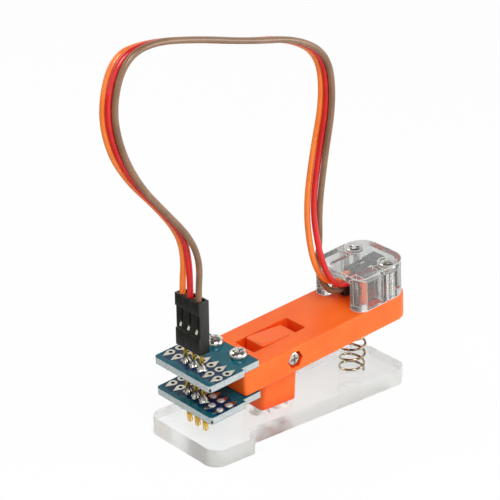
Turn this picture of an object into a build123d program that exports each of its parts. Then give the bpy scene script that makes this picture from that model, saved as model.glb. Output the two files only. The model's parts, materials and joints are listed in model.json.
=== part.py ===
from build123d import *
import os
from math import cos, pi, radians, sin, tan

# The frame: the origin is the middle of the base's underside, +X runs along the lever from the
# probes to the clear cover, -Y is the near side, and +Z is up. Millimetres throughout.
# The lever's own frame has its origin on the pivot, +X along the lever and +Z through its top.

# Fits shared by many pieces. PAST is how far a cutter runs past a face.
PITCH = 2.54
STATIC_FIT = 0.03
RUNNING_FIT = 0.05
NEAR = 0.01
PAST = 1.0

# Base plate
BASE_LENGTH = 60.4
BASE_WIDTH = 15.4
BASE_THICKNESS = 4.0
BASE_CORNER = 3.2
TONGUE_LENGTH = 11.85
TONGUE_WIDTH = 22.1
STEP_FLAT = 0.95

# Pivot post, measured from the pivot along X
PIVOT_X = -5.28
PIVOT_Z = 16.55
POST_LENGTH = 10.0
POST_WIDTH = 5.5
POST_ABOVE_PIVOT = 2.95
POST_CORNER = 0.6
FOOT_WIDTH = 6.8
FOOT_TOP = 12.3
FOOT_CORNER = 1.0
POST_TOP_EDGE = 0.3

# Countersunk screws that hold the post
BASE_SCREW_SPACING = 5.4
BASE_SCREW_RADIUS = 1.25
BASE_SCREW_HEAD_RADIUS = 2.35
BASE_SCREW_HEAD_HEIGHT = 1.4
BASE_SCREW_LENGTH = 10.0
BASE_SCREW_RECESS = 0.1
BASE_SCREW_SOCKET = 1.5
BASE_SCREW_SOCKET_DEPTH = 0.9
HOLE_END_GAP = 0.6

# Lever arm
REST_TILT = 5.8
ARM_FRONT = 14.3
ARM_REAR = 34.8
ARM_WIDTH = 15.6
ARM_THICKNESS = 6.0
ARM_REAR_CORNER = 4.0
ARM_FRONT_CORNER = 0.7
ARM_EDGE = 0.35
WINDOW_FRONT = 7.5
WINDOW_REAR = 7.4
WINDOW_WIDTH = 6.2
WINDOW_CORNER = 0.5

# Pivot screw and nut
PIVOT_RADIUS = 0.8
PIVOT_HEAD_RADIUS = 1.6
PIVOT_HEAD_HEIGHT = 1.1
PIVOT_HEAD_RECESS = 0.35
PIVOT_CROSS_LENGTH = 2.0
PIVOT_CROSS_DEPTH = 0.6
PIVOT_NUT_FLATS = 3.45
PIVOT_NUT_THICKNESS = 1.3
PIVOT_NUT_RECESS = 0.3
PIVOT_NUT_ROUND = 1.98
PIVOT_NUT_EDGE = 0.2
PIVOT_END_PROUD = 0.25

# Return spring
SPRING_FROM_PIVOT = 24.2
SPRING_Y = -0.8
SPRING_RADIUS = 2.75
SPRING_WIRE = 0.55
SPRING_TURNS = 6
SPRING_CLOSED_TURNS = 0.65
SPRING_START_ANGLE = -60.0
SPRING_POINTS_PER_TURN = 8
SPRING_END_PITCH = 0.62
SPRING_POCKET_DEPTH = 1.4
SPRING_POCKET_SIDE_GAP = 0.4
SPRING_END_GAP = 0.1

# Boards
BOARD_THICKNESS = 1.6
BOARD_FRONT = 24.8
BOARD_WIDTH = 18.0
BOARD_LENGTH = 9.45
NECK_WIDTH = 16.2
NECK_LENGTH = 4.85
BOARD_CORNER = 0.9
PAD_ROW_FROM_FRONT = 3.5
PAD_COLUMNS = 7
PAD_HOLE_RADIUS = 0.45

# Board screws and nuts
SCREW_RADIUS = 1.0
SCREW_HOLE_GAP = 0.1
SCREW_HEAD_RADIUS = 2.0
SCREW_HEAD_HEIGHT = 1.45
SCREW_HEAD_EDGE = 0.55
CROSS_WIDTH = 0.42
CROSS_LENGTH = 2.0
CROSS_DEPTH = 0.75
BOARD_SCREW_X = -12.4
BOARD_SCREW_SPACING = 3 * PITCH
BOARD_NUT_FLATS = 4.0
BOARD_NUT_THICKNESS = 1.6
BOARD_SCREW_PROUD = 0.3

# Spring probes
PROBE_COUNT = 3
PROBE_NAMES = ("left", "middle", "right")
BARREL_RADIUS = 0.51
BARREL_BORE = 0.40
BARREL_LIP_BORE = 0.33
BARREL_LIP = 0.4
BARREL_BELOW_BOARD = 0.8
BARREL_ABOVE_BOARD = 3.0
BARREL_ROOF = 0.5
TAIL_RADIUS = 0.32
TAIL_LENGTH = 4.6
PISTON_RADIUS = 0.36
PISTON_LENGTH = 2.5
PISTON_GAP = 0.04
NECK_RADIUS = 0.29
PROBE_TRAVEL = 2.0
HEAD_TRAVEL_GAP = 0.2
HEAD_RADIUS = 0.65
HEAD_LENGTH = 2.6
HEAD_SHOULDER = 0.22
CROWN_DEPTH = 1.2
CROWN_SLOT = 0.42
PROBE_SPRING_WIRE = 0.12
PROBE_SPRING_RADIUS = 0.29
PROBE_SPRING_TURNS = 12
PROBE_SPRING_END_GAP = 0.03

# Solder joints
SOLDER_RADIUS = 1.15
SOLDER_HEIGHT = 1.5
SOLDER_BULGE_RADIUS = 0.68

# Plug on the probe tails, in a frame on the middle tail that leans a little to the front
PLUG_WIDTH = 3 * PITCH
PLUG_DEPTH = 2.7
PLUG_HEIGHT = 12.0
PLUG_GAP_ABOVE_BARREL = 1.15
PLUG_LEAN = 3.0
PLUG_EDGE = 0.15
CAVITY = 1.9
MOUTH = 1.2
MOUTH_DEPTH = 0.5
LATCH_WINDOW_WIDTH = 1.3
LATCH_WINDOW_HEIGHT = 1.7
LATCH_WINDOW_BOTTOM = 4.9

# Crimp contacts
CONTACT_WIDTH = 1.7
CONTACT_WALL = 0.2
CRIMP_RADIUS = 0.62
FRONT_CONTACT_BOX = 5.2
FRONT_CRIMP_LENGTH = 2.2
FRONT_CRIMP_OFFSET = -0.3
REAR_CONTACT_BOX = 4.4
REAR_CRIMP_LENGTH = 1.0

# Rear plugs and header, in the lever's frame
DOUBLE_PLUG_REAR = 31.8
SINGLE_PLUG_REAR = 29.6
REAR_PLUG_LENGTH = 7.4
REAR_PLUG_ABOVE_ARM = 0.35
REAR_PLUG_GAP = 0.04
HEADER_GAP = 0.05
HEADER_LENGTH = 1.85
HEADER_WIDTH = 5.6
HEADER_ABOVE_PLUGS = 0.1
PIN_SIDE = 0.64
PIN_REACH = 4.4

# Clear cover, in the lever's frame
COVER_FRONT = 19.6
COVER_INSET = 0.2
COVER_HEIGHT = 8.0
COVER_ROOF = 1.5
COVER_REAR_CORNER = 4.6
COVER_FRONT_CORNER = 1.9
COVER_TOP_EDGE = 0.5
COVER_WALL = 0.95
SLOT_WIDTH = 7.3
SLOT_CORNER = 1.2
POCKET_FROM_FRONT = 2.6
POCKET_LENGTH = 4.9
POCKET_CORNER = 0.3
SLIT_FROM_FRONT = 8.0
SLIT_WIDTH = 0.55
SLIT_DEPTH = 1.9
COVER_SCREW_X = 30.2
COVER_SCREW_FROM_SIDE = 2.4
COVER_SCREW_LENGTH = 9.6
HEAD_WELL_GAP = 0.15
HEAD_WELL_DEPTH = 1.45

# Lead of three wires
WIRE_DIAMETER = 1.2
WIRE_BEND_SHARE = 0.45
WIRE_STRAIGHT_OUTSIDE_PLUG = 1.6

# The lead's route, chosen by hand: one row for each bend, with the orange, the red and the brown
# wire's point. The two points at each end come from the plugs.
LEAD_ROUTE = (
    ((-29.10, 1.30, 43.20), (-28.90, 0.00, 43.30), (-27.90, -2.30, 43.50)),
    ((-30.70, 1.30, 49.30), (-30.50, 0.00, 49.40), (-30.30, -1.70, 49.50)),
    ((-36.50, 1.50, 56.45), (-36.55, 0.10, 56.40), (-36.60, -1.30, 56.40)),
    ((-43.20, 1.45, 63.00), (-43.00, 0.10, 63.10), (-42.80, -1.25, 63.20)),
    ((-48.50, 1.20, 70.75), (-47.95, 0.10, 71.25), (-47.40, -1.05, 71.70)),
    ((-50.65, 1.10, 79.85), (-50.30, 0.00, 80.40), (-49.25, -0.90, 80.50)),
    ((-47.75, 1.35, 89.75), (-47.35, 0.15, 89.55), (-46.85, -1.05, 89.25)),
    ((-40.20, 1.50, 91.00), (-40.25, 0.15, 91.50), (-40.30, -1.20, 92.00)),
    ((-28.40, 1.40, 89.55), (-28.30, 0.10, 89.90), (-28.20, -1.20, 90.20)),
    ((-15.40, 1.40, 86.65), (-15.30, 0.10, 87.00), (-15.20, -1.20, 87.30)),
    ((-2.45, 1.45, 84.90), (-2.30, 0.10, 85.20), (-2.20, -1.25, 85.50)),
    ((6.00, 1.35, 80.00), (6.25, 0.00, 80.15), (6.50, -1.35, 80.30)),
    ((7.90, 1.35, 70.00), (8.20, 0.00, 70.00), (8.50, -1.35, 70.00)),
    ((5.50, 1.20, 57.70), (6.20, 0.00, 57.60), (6.90, -1.20, 57.50)),
    ((4.10, 0.90, 46.30), (5.00, -0.10, 46.30), (6.40, -0.75, 46.30)),
    ((5.70, 0.60, 35.80), (7.20, -0.50, 35.70), (9.20, 1.40, 36.50)),
    ((8.90, 0.80, 29.20), (9.90, -1.10, 29.00), (9.80, 2.70, 30.20)),
    ((12.90, 1.20, 26.20), (13.00, -1.27, 26.40), (12.30, 2.10, 24.65)),
)

# Places that several pieces share
ARM_TOP = ARM_THICKNESS / 2
ARM_BOTTOM = -ARM_THICKNESS / 2
TONGUE_END = TONGUE_LENGTH - BASE_LENGTH / 2
STEP_CORNER = ((TONGUE_WIDTH - BASE_WIDTH) / 2 - STEP_FLAT) / 2
UPPER_BOARD_TOP = ARM_TOP + BOARD_THICKNESS
LOWER_BOARD_BOTTOM = ARM_BOTTOM - BOARD_THICKNESS
FRONT_PAD_ROW = PAD_ROW_FROM_FRONT - BOARD_FRONT
REAR_PAD_ROW = FRONT_PAD_ROW + PITCH
BARREL_BOTTOM = LOWER_BOARD_BOTTOM - BARREL_BELOW_BOARD
BARREL_TOP = UPPER_BOARD_TOP + BARREL_ABOVE_BOARD
PLUG_BOTTOM = BARREL_TOP + PLUG_GAP_ABOVE_BARREL
COVER_WIDTH = ARM_WIDTH - 2 * COVER_INSET
COVER_SCREW_SPACING = COVER_WIDTH - 2 * COVER_SCREW_FROM_SIDE
COVER_TOP = ARM_TOP + COVER_HEIGHT
COVER_SLOT_TOP = COVER_TOP - COVER_ROOF
LOWER_ROW = ARM_TOP + REAR_PLUG_ABOVE_ARM + PITCH / 2
UPPER_ROW = LOWER_ROW + PITCH + REAR_PLUG_GAP
PIVOT_FRAME = Location((PIVOT_X, 0, PIVOT_Z), (0, -REST_TILT, 0))
PLUG_FRAME = PIVOT_FRAME * Location((FRONT_PAD_ROW, 0, PLUG_BOTTOM), (0, REST_TILT - PLUG_LEAN, 0))


def block(x0, x1, y0, y1, z0, z1):
    """A box between two values on each axis."""
    return Pos((x0 + x1) / 2, (y0 + y1) / 2, (z0 + z1) / 2) * Box(x1 - x0, y1 - y0, z1 - z0)


def rod(radius, x, y, z0, z1):
    """An upright cylinder."""
    return Pos(x, y, (z0 + z1) / 2) * Cylinder(radius, z1 - z0)


def cross_rod(radius, x, z, y0, y1):
    """A cylinder along Y."""
    return Pos(x, (y0 + y1) / 2, z) * Rot(90, 0, 0) * Cylinder(radius, y1 - y0)


def upright_edges(shape, wanted):
    """The shape's vertical edges whose centre passes the test."""
    return [edge for edge in shape.edges().filter_by(Axis.Z) if wanted(edge.center())]


def rounded_block(x0, x1, y0, y1, z0, z1, radius):
    """A box with rounded vertical edges."""
    body = block(x0, x1, y0, y1, z0, z1)
    return fillet(body.edges().filter_by(Axis.Z), radius)


def hexagon_across(flats, y0, y1):
    """A hexagonal prism along Y, with corners along X."""
    plane = Plane((0, y0, 0), x_dir=(1, 0, 0), z_dir=(0, 1, 0))
    return extrude(plane * RegularPolygon(flats / 2, 6, major_radius=False), y1 - y0)


def pan_head(x, y, seat):
    """A domed screw head with a cross recess, standing on the height of its seat."""
    head = rod(SCREW_HEAD_RADIUS, x, y, seat, seat + SCREW_HEAD_HEIGHT)
    head = fillet(head.faces().sort_by(Axis.Z)[-1].edges(), SCREW_HEAD_EDGE)
    top = seat + SCREW_HEAD_HEIGHT
    for length, width in ((CROSS_LENGTH, CROSS_WIDTH), (CROSS_WIDTH, CROSS_LENGTH)):
        head -= block(x - length / 2, x + length / 2, y - width / 2, y + width / 2,
                      top - CROSS_DEPTH, top + PAST)
    return head


def mirrored_y(half_spacing):
    """The two places either side of the middle."""
    return (half_spacing, -half_spacing)


def probe_rows():
    """The three probes' places across the board, far one first."""
    return [PITCH * (1 - index) for index in range(PROBE_COUNT)]


def post_screw_places():
    """The post screws' places along X."""
    return [PIVOT_X + BASE_SCREW_SPACING / 2, PIVOT_X - BASE_SCREW_SPACING / 2]


def make_base_plate():
    """The clear plate, with a wider tongue at the front and countersunk holes from below."""
    front = block(-BASE_LENGTH / 2, TONGUE_END, -TONGUE_WIDTH / 2, TONGUE_WIDTH / 2, 0, BASE_THICKNESS)
    rear = block(TONGUE_END - STEP_CORNER, BASE_LENGTH / 2, -BASE_WIDTH / 2, BASE_WIDTH / 2,
                 0, BASE_THICKNESS)
    plate = front + rear
    plate = fillet(upright_edges(plate, lambda c: abs(c.X) > BASE_LENGTH / 2 - NEAR), BASE_CORNER)
    plate = fillet(upright_edges(plate, lambda c: abs(c.X - TONGUE_END) < NEAR), STEP_CORNER)
    for x in post_screw_places():
        plate -= rod(BASE_SCREW_RADIUS + SCREW_HOLE_GAP, x, 0, -PAST, BASE_THICKNESS + PAST)
        plate -= countersink(x, STATIC_FIT)
        plate -= rod(BASE_SCREW_HEAD_RADIUS + STATIC_FIT, x, 0, -PAST, BASE_SCREW_RECESS)
    return plate


def countersink(x, gap):
    """The cone of a countersunk head, wider by a gap."""
    cone = Cone(BASE_SCREW_HEAD_RADIUS + gap, BASE_SCREW_RADIUS + gap, BASE_SCREW_HEAD_HEIGHT)
    return Pos(x, 0, BASE_SCREW_RECESS + BASE_SCREW_HEAD_HEIGHT / 2) * cone


def make_base_screws():
    """Two socket screws that come up through the plate into the post."""
    screws = []
    for x in post_screw_places():
        shank_bottom = BASE_SCREW_RECESS + BASE_SCREW_HEAD_HEIGHT / 2
        screw = countersink(x, 0)
        screw += rod(BASE_SCREW_RADIUS, x, 0, shank_bottom, BASE_SCREW_RECESS + BASE_SCREW_LENGTH)
        socket = Pos(x, 0, BASE_SCREW_RECESS) * RegularPolygon(BASE_SCREW_SOCKET / 2, 6, major_radius=False)
        screw -= extrude(socket, BASE_SCREW_SOCKET_DEPTH)
        screws.append(screw)
    return Compound(screws)


def make_pivot_post():
    """The post in the lever's window, on a wider foot."""
    x0 = PIVOT_X - POST_LENGTH / 2
    x1 = PIVOT_X + POST_LENGTH / 2
    foot = rounded_block(x0, x1, -FOOT_WIDTH / 2, FOOT_WIDTH / 2, BASE_THICKNESS, FOOT_TOP, FOOT_CORNER)
    top = PIVOT_Z + POST_ABOVE_PIVOT
    post = rounded_block(x0, x1, -POST_WIDTH / 2, POST_WIDTH / 2, BASE_THICKNESS + PAST, top, POST_CORNER)
    post = chamfer(post.faces().sort_by(Axis.Z)[-1].edges(), POST_TOP_EDGE)
    body = foot + post
    body -= cross_rod(PIVOT_RADIUS + RUNNING_FIT, PIVOT_X, PIVOT_Z, -FOOT_WIDTH, FOOT_WIDTH)
    for x in post_screw_places():
        body -= rod(BASE_SCREW_RADIUS + STATIC_FIT, x, 0, BASE_THICKNESS - PAST,
                    BASE_SCREW_RECESS + BASE_SCREW_LENGTH + HOLE_END_GAP)
    return body


def spring_place():
    """The return spring's axis in the part's frame."""
    return PIVOT_X + SPRING_FROM_PIVOT, SPRING_Y


def spring_pocket_floor():
    """How high the pocket's floor lies over the spring's axis, in the part's frame."""
    floor = ARM_BOTTOM + SPRING_POCKET_DEPTH
    along = (SPRING_FROM_PIVOT + floor * sin(radians(REST_TILT))) / cos(radians(REST_TILT))
    return PIVOT_Z + along * sin(radians(REST_TILT)) + floor * cos(radians(REST_TILT))


def spring_height():
    """The spring's height, up to its seat in the lever less what the tilted floor takes."""
    rim = (SPRING_RADIUS + SPRING_WIRE / 2) * tan(radians(REST_TILT))
    return spring_pocket_floor() - rim - SPRING_END_GAP - BASE_THICKNESS


def make_return_spring():
    """A compression spring whose ends close down on themselves."""
    x, y = spring_place()
    bottom = BASE_THICKNESS + SPRING_WIRE / 2
    height = spring_height() - SPRING_WIRE
    points = []
    for step in range(SPRING_TURNS * SPRING_POINTS_PER_TURN + 1):
        turn = step / SPRING_POINTS_PER_TURN
        active_turns = SPRING_TURNS - 2 * SPRING_CLOSED_TURNS
        climb = (height - 2 * SPRING_END_PITCH * SPRING_CLOSED_TURNS) / active_turns
        active = min(max(turn - SPRING_CLOSED_TURNS, 0), active_turns)
        rise = climb * active + SPRING_END_PITCH * (turn - active)
        angle = radians(SPRING_START_ANGLE) + 2 * pi * turn
        points.append((x + SPRING_RADIUS * cos(angle), y + SPRING_RADIUS * sin(angle), bottom + rise))
    path = Spline(*points)
    return sweep(Plane(path @ 0, z_dir=path % 0) * Circle(SPRING_WIRE / 2), path=path)


def make_lever_arm():
    """The lever with its window, two hexagon pockets on the pivot, spring pocket and screw holes."""
    half = ARM_WIDTH / 2
    arm = block(-ARM_FRONT, ARM_REAR, -half, half, ARM_BOTTOM, ARM_TOP)
    arm = fillet(upright_edges(arm, lambda c: c.X > 0), ARM_REAR_CORNER)
    arm = fillet(upright_edges(arm, lambda c: c.X < -ARM_FRONT + NEAR), ARM_FRONT_CORNER)
    rims = arm.faces().sort_by(Axis.Z)[-1].edges() + arm.faces().sort_by(Axis.Z)[0].edges()
    arm = fillet(rims, ARM_EDGE)
    arm -= rounded_block(-WINDOW_FRONT, WINDOW_REAR, -WINDOW_WIDTH / 2, WINDOW_WIDTH / 2,
                         ARM_BOTTOM - PAST, ARM_TOP + PAST, WINDOW_CORNER)
    arm -= cross_rod(PIVOT_RADIUS + STATIC_FIT, 0, 0, -half, half)
    for low, high in ((-half - PAST, head_seat()), (nut_seat(), half + PAST)):
        arm -= hexagon_across(PIVOT_NUT_FLATS + 2 * SCREW_HOLE_GAP, low, high)
    for y in mirrored_y(BOARD_SCREW_SPACING / 2):
        arm -= rod(SCREW_RADIUS + SCREW_HOLE_GAP, BOARD_SCREW_X, y, ARM_BOTTOM - PAST, ARM_TOP + PAST)
    for y in mirrored_y(COVER_SCREW_SPACING / 2):
        arm -= rod(SCREW_RADIUS + STATIC_FIT, COVER_SCREW_X, y, cover_screw_end() - HOLE_END_GAP,
                   ARM_TOP + PAST)
    arm -= rod(spring_pocket_radius(), *spring_pocket_centre(), ARM_BOTTOM - PAST,
               ARM_BOTTOM + SPRING_POCKET_DEPTH)
    return PIVOT_FRAME * arm


def nut_seat():
    """Where the pivot nut's inner face lies across the lever."""
    return ARM_WIDTH / 2 - PIVOT_NUT_RECESS - PIVOT_NUT_THICKNESS


def head_seat():
    """Where the pivot screw's head sits across the lever."""
    return -ARM_WIDTH / 2 + PIVOT_HEAD_RECESS + PIVOT_HEAD_HEIGHT


def spring_pocket_radius():
    """The spring's pocket in the lever."""
    return SPRING_RADIUS + SPRING_WIRE / 2 + SPRING_POCKET_SIDE_GAP


def spring_pocket_centre():
    """The pocket's centre in the lever's frame, over the spring's upper end."""
    return (SPRING_FROM_PIVOT + ARM_BOTTOM * sin(radians(REST_TILT))) / cos(radians(REST_TILT)), SPRING_Y


def make_pivot_screw():
    """The screw that the lever turns on, with its head in the near side pocket."""
    end = ARM_WIDTH / 2 - PIVOT_NUT_RECESS + PIVOT_END_PROUD
    screw = cross_rod(PIVOT_RADIUS, 0, 0, head_seat() - PIVOT_HEAD_HEIGHT / 2, end)
    top = head_seat() - PIVOT_HEAD_HEIGHT
    head = cross_rod(PIVOT_HEAD_RADIUS, 0, 0, top, head_seat())
    head = fillet(head.faces().sort_by(Axis.Y)[0].edges(), PIVOT_HEAD_HEIGHT / 2)
    screw += head
    for length, width in ((PIVOT_CROSS_LENGTH, CROSS_WIDTH), (CROSS_WIDTH, PIVOT_CROSS_LENGTH)):
        screw -= block(-length / 2, length / 2, top - PAST, top + PIVOT_CROSS_DEPTH, -width / 2, width / 2)
    return PIVOT_FRAME * screw


def make_pivot_nut():
    """The nut in the far side pocket."""
    outer = nut_seat() + PIVOT_NUT_THICKNESS
    nut = hexagon_across(PIVOT_NUT_FLATS, nut_seat(), outer)
    rounded = cross_rod(PIVOT_NUT_ROUND, 0, 0, nut_seat(), outer)
    nut &= fillet(rounded.faces().sort_by(Axis.Y)[-1].edges(), PIVOT_NUT_EDGE)
    nut -= cross_rod(PIVOT_RADIUS + STATIC_FIT, 0, 0, nut_seat() - PAST, outer + PAST)
    return PIVOT_FRAME * nut


def board(bottom):
    """One T-shaped board with its pad holes and screw holes, standing on a height."""
    rear_of_wide = BOARD_LENGTH - BOARD_FRONT
    top = bottom + BOARD_THICKNESS
    wide = block(-BOARD_FRONT, rear_of_wide, -BOARD_WIDTH / 2, BOARD_WIDTH / 2, bottom, top)
    neck = block(rear_of_wide - PAST, rear_of_wide + NECK_LENGTH, -NECK_WIDTH / 2, NECK_WIDTH / 2,
                 bottom, top)
    plate = fillet(upright_edges(wide + neck, lambda c: c.X < -BOARD_FRONT + NEAR), BOARD_CORNER)
    first = -PITCH * (PAD_COLUMNS - 1) / 2
    for column in range(PAD_COLUMNS):
        y = first + PITCH * column
        for x in (FRONT_PAD_ROW, REAR_PAD_ROW):
            probe = x == FRONT_PAD_ROW and any(abs(y - row) < NEAR for row in probe_rows())
            radius = BARREL_RADIUS + STATIC_FIT if probe else PAD_HOLE_RADIUS
            plate -= rod(radius, x, y, bottom - PAST, top + PAST)
    for y in mirrored_y(BOARD_SCREW_SPACING / 2):
        plate -= rod(SCREW_RADIUS + SCREW_HOLE_GAP, BOARD_SCREW_X, y, bottom - PAST, top + PAST)
    return PIVOT_FRAME * plate


def make_board_screws():
    """Two pan head screws through both boards and the lever."""
    screws = []
    end = LOWER_BOARD_BOTTOM - BOARD_NUT_THICKNESS - BOARD_SCREW_PROUD
    for y in mirrored_y(BOARD_SCREW_SPACING / 2):
        shank = rod(SCREW_RADIUS, BOARD_SCREW_X, y, end, UPPER_BOARD_TOP + STATIC_FIT)
        screws.append(PIVOT_FRAME * (pan_head(BOARD_SCREW_X, y, UPPER_BOARD_TOP) + shank))
    return Compound(screws)


def make_board_nuts():
    """The two nuts below the lower board."""
    nuts = []
    for y in mirrored_y(BOARD_SCREW_SPACING / 2):
        face = Pos(BOARD_SCREW_X, y, LOWER_BOARD_BOTTOM - BOARD_NUT_THICKNESS)
        nut = extrude(face * RegularPolygon(BOARD_NUT_FLATS / 2, 6, major_radius=False), BOARD_NUT_THICKNESS)
        nut -= rod(SCREW_RADIUS + STATIC_FIT, BOARD_SCREW_X, y,
                   LOWER_BOARD_BOTTOM - BOARD_NUT_THICKNESS - PAST, LOWER_BOARD_BOTTOM + PAST)
        nuts.append(PIVOT_FRAME * nut)
    return Compound(nuts)


def barrel_bore_top():
    """Where the barrel's bore ends."""
    return BARREL_TOP - BARREL_ROOF


def piston_bottom():
    """Where the plunger's piston rests on the barrel's lip."""
    return BARREL_BOTTOM + BARREL_LIP + PISTON_GAP


def make_probe_barrel(y):
    """A barrel with a retaining lip, closed at the top, with its solder tail."""
    barrel = rod(BARREL_RADIUS, 0, 0, BARREL_BOTTOM, BARREL_TOP)
    barrel = chamfer(barrel.faces().sort_by(Axis.Z)[-1].edges(), BARREL_RADIUS - TAIL_RADIUS - NEAR)
    barrel += rod(TAIL_RADIUS, 0, 0, BARREL_TOP - BARREL_ROOF / 2, BARREL_TOP + TAIL_LENGTH)
    barrel -= rod(BARREL_BORE, 0, 0, BARREL_BOTTOM + BARREL_LIP, barrel_bore_top())
    barrel -= rod(BARREL_LIP_BORE, 0, 0, BARREL_BOTTOM - PAST, BARREL_BOTTOM + BARREL_LIP + NEAR)
    return PIVOT_FRAME * Pos(FRONT_PAD_ROW, y, 0) * barrel


def make_probe_plunger(y):
    """A plunger: piston in the barrel, neck through the lip and a slotted crown head."""
    head_top = BARREL_BOTTOM - PROBE_TRAVEL - HEAD_TRAVEL_GAP
    tip = head_top - HEAD_LENGTH
    piston = rod(PISTON_RADIUS, 0, 0, piston_bottom(), piston_bottom() + PISTON_LENGTH)
    neck = rod(NECK_RADIUS, 0, 0, head_top - NEAR, piston_bottom() + NEAR)
    head = rod(HEAD_RADIUS, 0, 0, tip, head_top)
    head = chamfer(head.faces().sort_by(Axis.Z)[-1].edges(), HEAD_SHOULDER)
    for half_x, half_y in ((HEAD_RADIUS + PAST, CROWN_SLOT / 2), (CROWN_SLOT / 2, HEAD_RADIUS + PAST)):
        head -= block(-half_x, half_x, -half_y, half_y, tip - PAST, tip + CROWN_DEPTH)
    return PIVOT_FRAME * Pos(FRONT_PAD_ROW, y, 0) * (piston + neck + head)


def probe_spring_ends():
    """The inner spring's lower and upper ends in the lever's frame."""
    return piston_bottom() + PISTON_LENGTH + PROBE_SPRING_END_GAP, barrel_bore_top() - PROBE_SPRING_END_GAP


def make_probe_spring(y):
    """The fine spring between the piston and the barrel's closed end."""
    low, high = probe_spring_ends()
    height = high - low - PROBE_SPRING_WIRE
    path = Helix(height / PROBE_SPRING_TURNS, height, PROBE_SPRING_RADIUS)
    coil = sweep(Plane(path @ 0, z_dir=path % 0) * Circle(PROBE_SPRING_WIRE / 2), path=path)
    return PIVOT_FRAME * Pos(FRONT_PAD_ROW, y, low + PROBE_SPRING_WIRE / 2) * coil


def solder_joints(surface):
    """Three solder fillets round the barrels, on a board's surface."""
    joints = []
    for y in probe_rows():
        foot = (SOLDER_RADIUS, 0)
        crown = (BARREL_RADIUS + STATIC_FIT, SOLDER_HEIGHT)
        inner = (BARREL_RADIUS + STATIC_FIT, 0)
        bulge = (SOLDER_BULGE_RADIUS, SOLDER_HEIGHT / 2)
        outline = Polyline(crown, inner, foot) + ThreePointArc(foot, bulge, crown)
        ring = revolve(Plane.XZ * make_face(outline), Axis.Z)
        joints.append(PIVOT_FRAME * Pos(FRONT_PAD_ROW, y, surface) * ring)
    return Compound(joints)


def housing(places, depth, length):
    """A moulded crimp housing along +Z, with one cavity and one latch window for each place across Y."""
    half = PITCH * len(places) / 2
    body = block(-depth / 2, depth / 2, -half, half, 0, length)
    body = chamfer(body.edges(), PLUG_EDGE)
    for y in places:
        body -= block(-CAVITY / 2, CAVITY / 2, y - CAVITY / 2, y + CAVITY / 2, MOUTH_DEPTH, length + PAST)
        body -= block(-MOUTH / 2, MOUTH / 2, y - MOUTH / 2, y + MOUTH / 2, -PAST, MOUTH_DEPTH + NEAR)
        body -= block(-depth, 0, y - LATCH_WINDOW_WIDTH / 2, y + LATCH_WINDOW_WIDTH / 2,
                      LATCH_WINDOW_BOTTOM, LATCH_WINDOW_BOTTOM + LATCH_WINDOW_HEIGHT)
    return body


def contact(box_length, crimp_length, crimp_x=0.0):
    """A crimp contact along +Z: a sprung box, then the crimp barrel round the conductor."""
    half = CONTACT_WIDTH / 2
    inner = half - CONTACT_WALL
    body = block(-half, half, -half, half, 0, box_length)
    body -= block(-inner, inner, -inner, inner, -PAST, box_length - CONTACT_WALL)
    body += rod(CRIMP_RADIUS, crimp_x, 0, box_length - NEAR, box_length + crimp_length)
    return body


def front_cell(index):
    """A frame on the front plug's bottom, in the middle of one wire's cell. 0 is the orange wire."""
    return PLUG_FRAME * Pos(0, probe_rows()[index], 0)


def make_plug_housing():
    """The three-way plug on the probe tails."""
    return PLUG_FRAME * housing(probe_rows(), PLUG_DEPTH, PLUG_HEIGHT)


def make_plug_contacts():
    """The plug's three contacts."""
    return Compound([front_cell(index) * Pos(0, 0, MOUTH_DEPTH)
                     * contact(FRONT_CONTACT_BOX, FRONT_CRIMP_LENGTH, FRONT_CRIMP_OFFSET)
                     for index in range(PROBE_COUNT)])


def rear_cell(index):
    """A frame on a rear plug's rear face, in the middle of one wire's cell, with +Z towards the lead."""
    rear, y, height = ((DOUBLE_PLUG_REAR, PITCH / 2, UPPER_ROW), (DOUBLE_PLUG_REAR, -PITCH / 2, UPPER_ROW),
                       (SINGLE_PLUG_REAR, PITCH / 2, LOWER_ROW))[index]
    return PIVOT_FRAME * Location((rear, y, height), (0, -90, 0))


def make_rear_plug_double():
    """The two-way plug of the orange and red wires."""
    return rear_cell(0) * Pos(0, -PITCH / 2, 0) * housing((PITCH / 2, -PITCH / 2), PITCH, REAR_PLUG_LENGTH)


def make_rear_plug_single():
    """The one-way plug of the brown wire, which isn't pushed right home."""
    return rear_cell(2) * housing((0,), PITCH, REAR_PLUG_LENGTH)


def make_rear_contacts():
    """The contacts in the two rear plugs."""
    return Compound([rear_cell(index) * Pos(0, 0, MOUTH_DEPTH)
                     * contact(REAR_CONTACT_BOX, REAR_CRIMP_LENGTH) for index in range(PROBE_COUNT)])


def header_front():
    """Where the header block begins behind the rear plugs."""
    return DOUBLE_PLUG_REAR + HEADER_GAP


def make_header_block():
    """The moulded block that holds the pins, on the lever's top."""
    body = block(header_front(), header_front() + HEADER_LENGTH, -HEADER_WIDTH / 2, HEADER_WIDTH / 2,
                 ARM_TOP, UPPER_ROW + PITCH / 2 + HEADER_ABOVE_PLUGS)
    body = chamfer(body.edges().filter_by(Axis.X), PLUG_EDGE)
    for y, height in pin_places():
        body -= header_pin(y, height, STATIC_FIT)
    return PIVOT_FRAME * body


def pin_places():
    """The pins' places across the lever, with their heights."""
    return ((PITCH / 2, UPPER_ROW), (-PITCH / 2, UPPER_ROW), (PITCH / 2, LOWER_ROW))


def header_pin(y, height, gap=0.0):
    """A square pin through the block, wider by a gap."""
    half = PIN_SIDE / 2 + gap
    return block(header_front() - PIN_REACH, header_front() + HEADER_LENGTH, y - half, y + half,
                 height - half, height + half)


def make_header_pins():
    """The three pins that the rear contacts push on."""
    return Compound([PIVOT_FRAME * header_pin(y, height) for y, height in pin_places()])


def cover_screw_end():
    """Where the cover screws end in the lever."""
    return COVER_TOP - HEAD_WELL_DEPTH - COVER_SCREW_LENGTH


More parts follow.
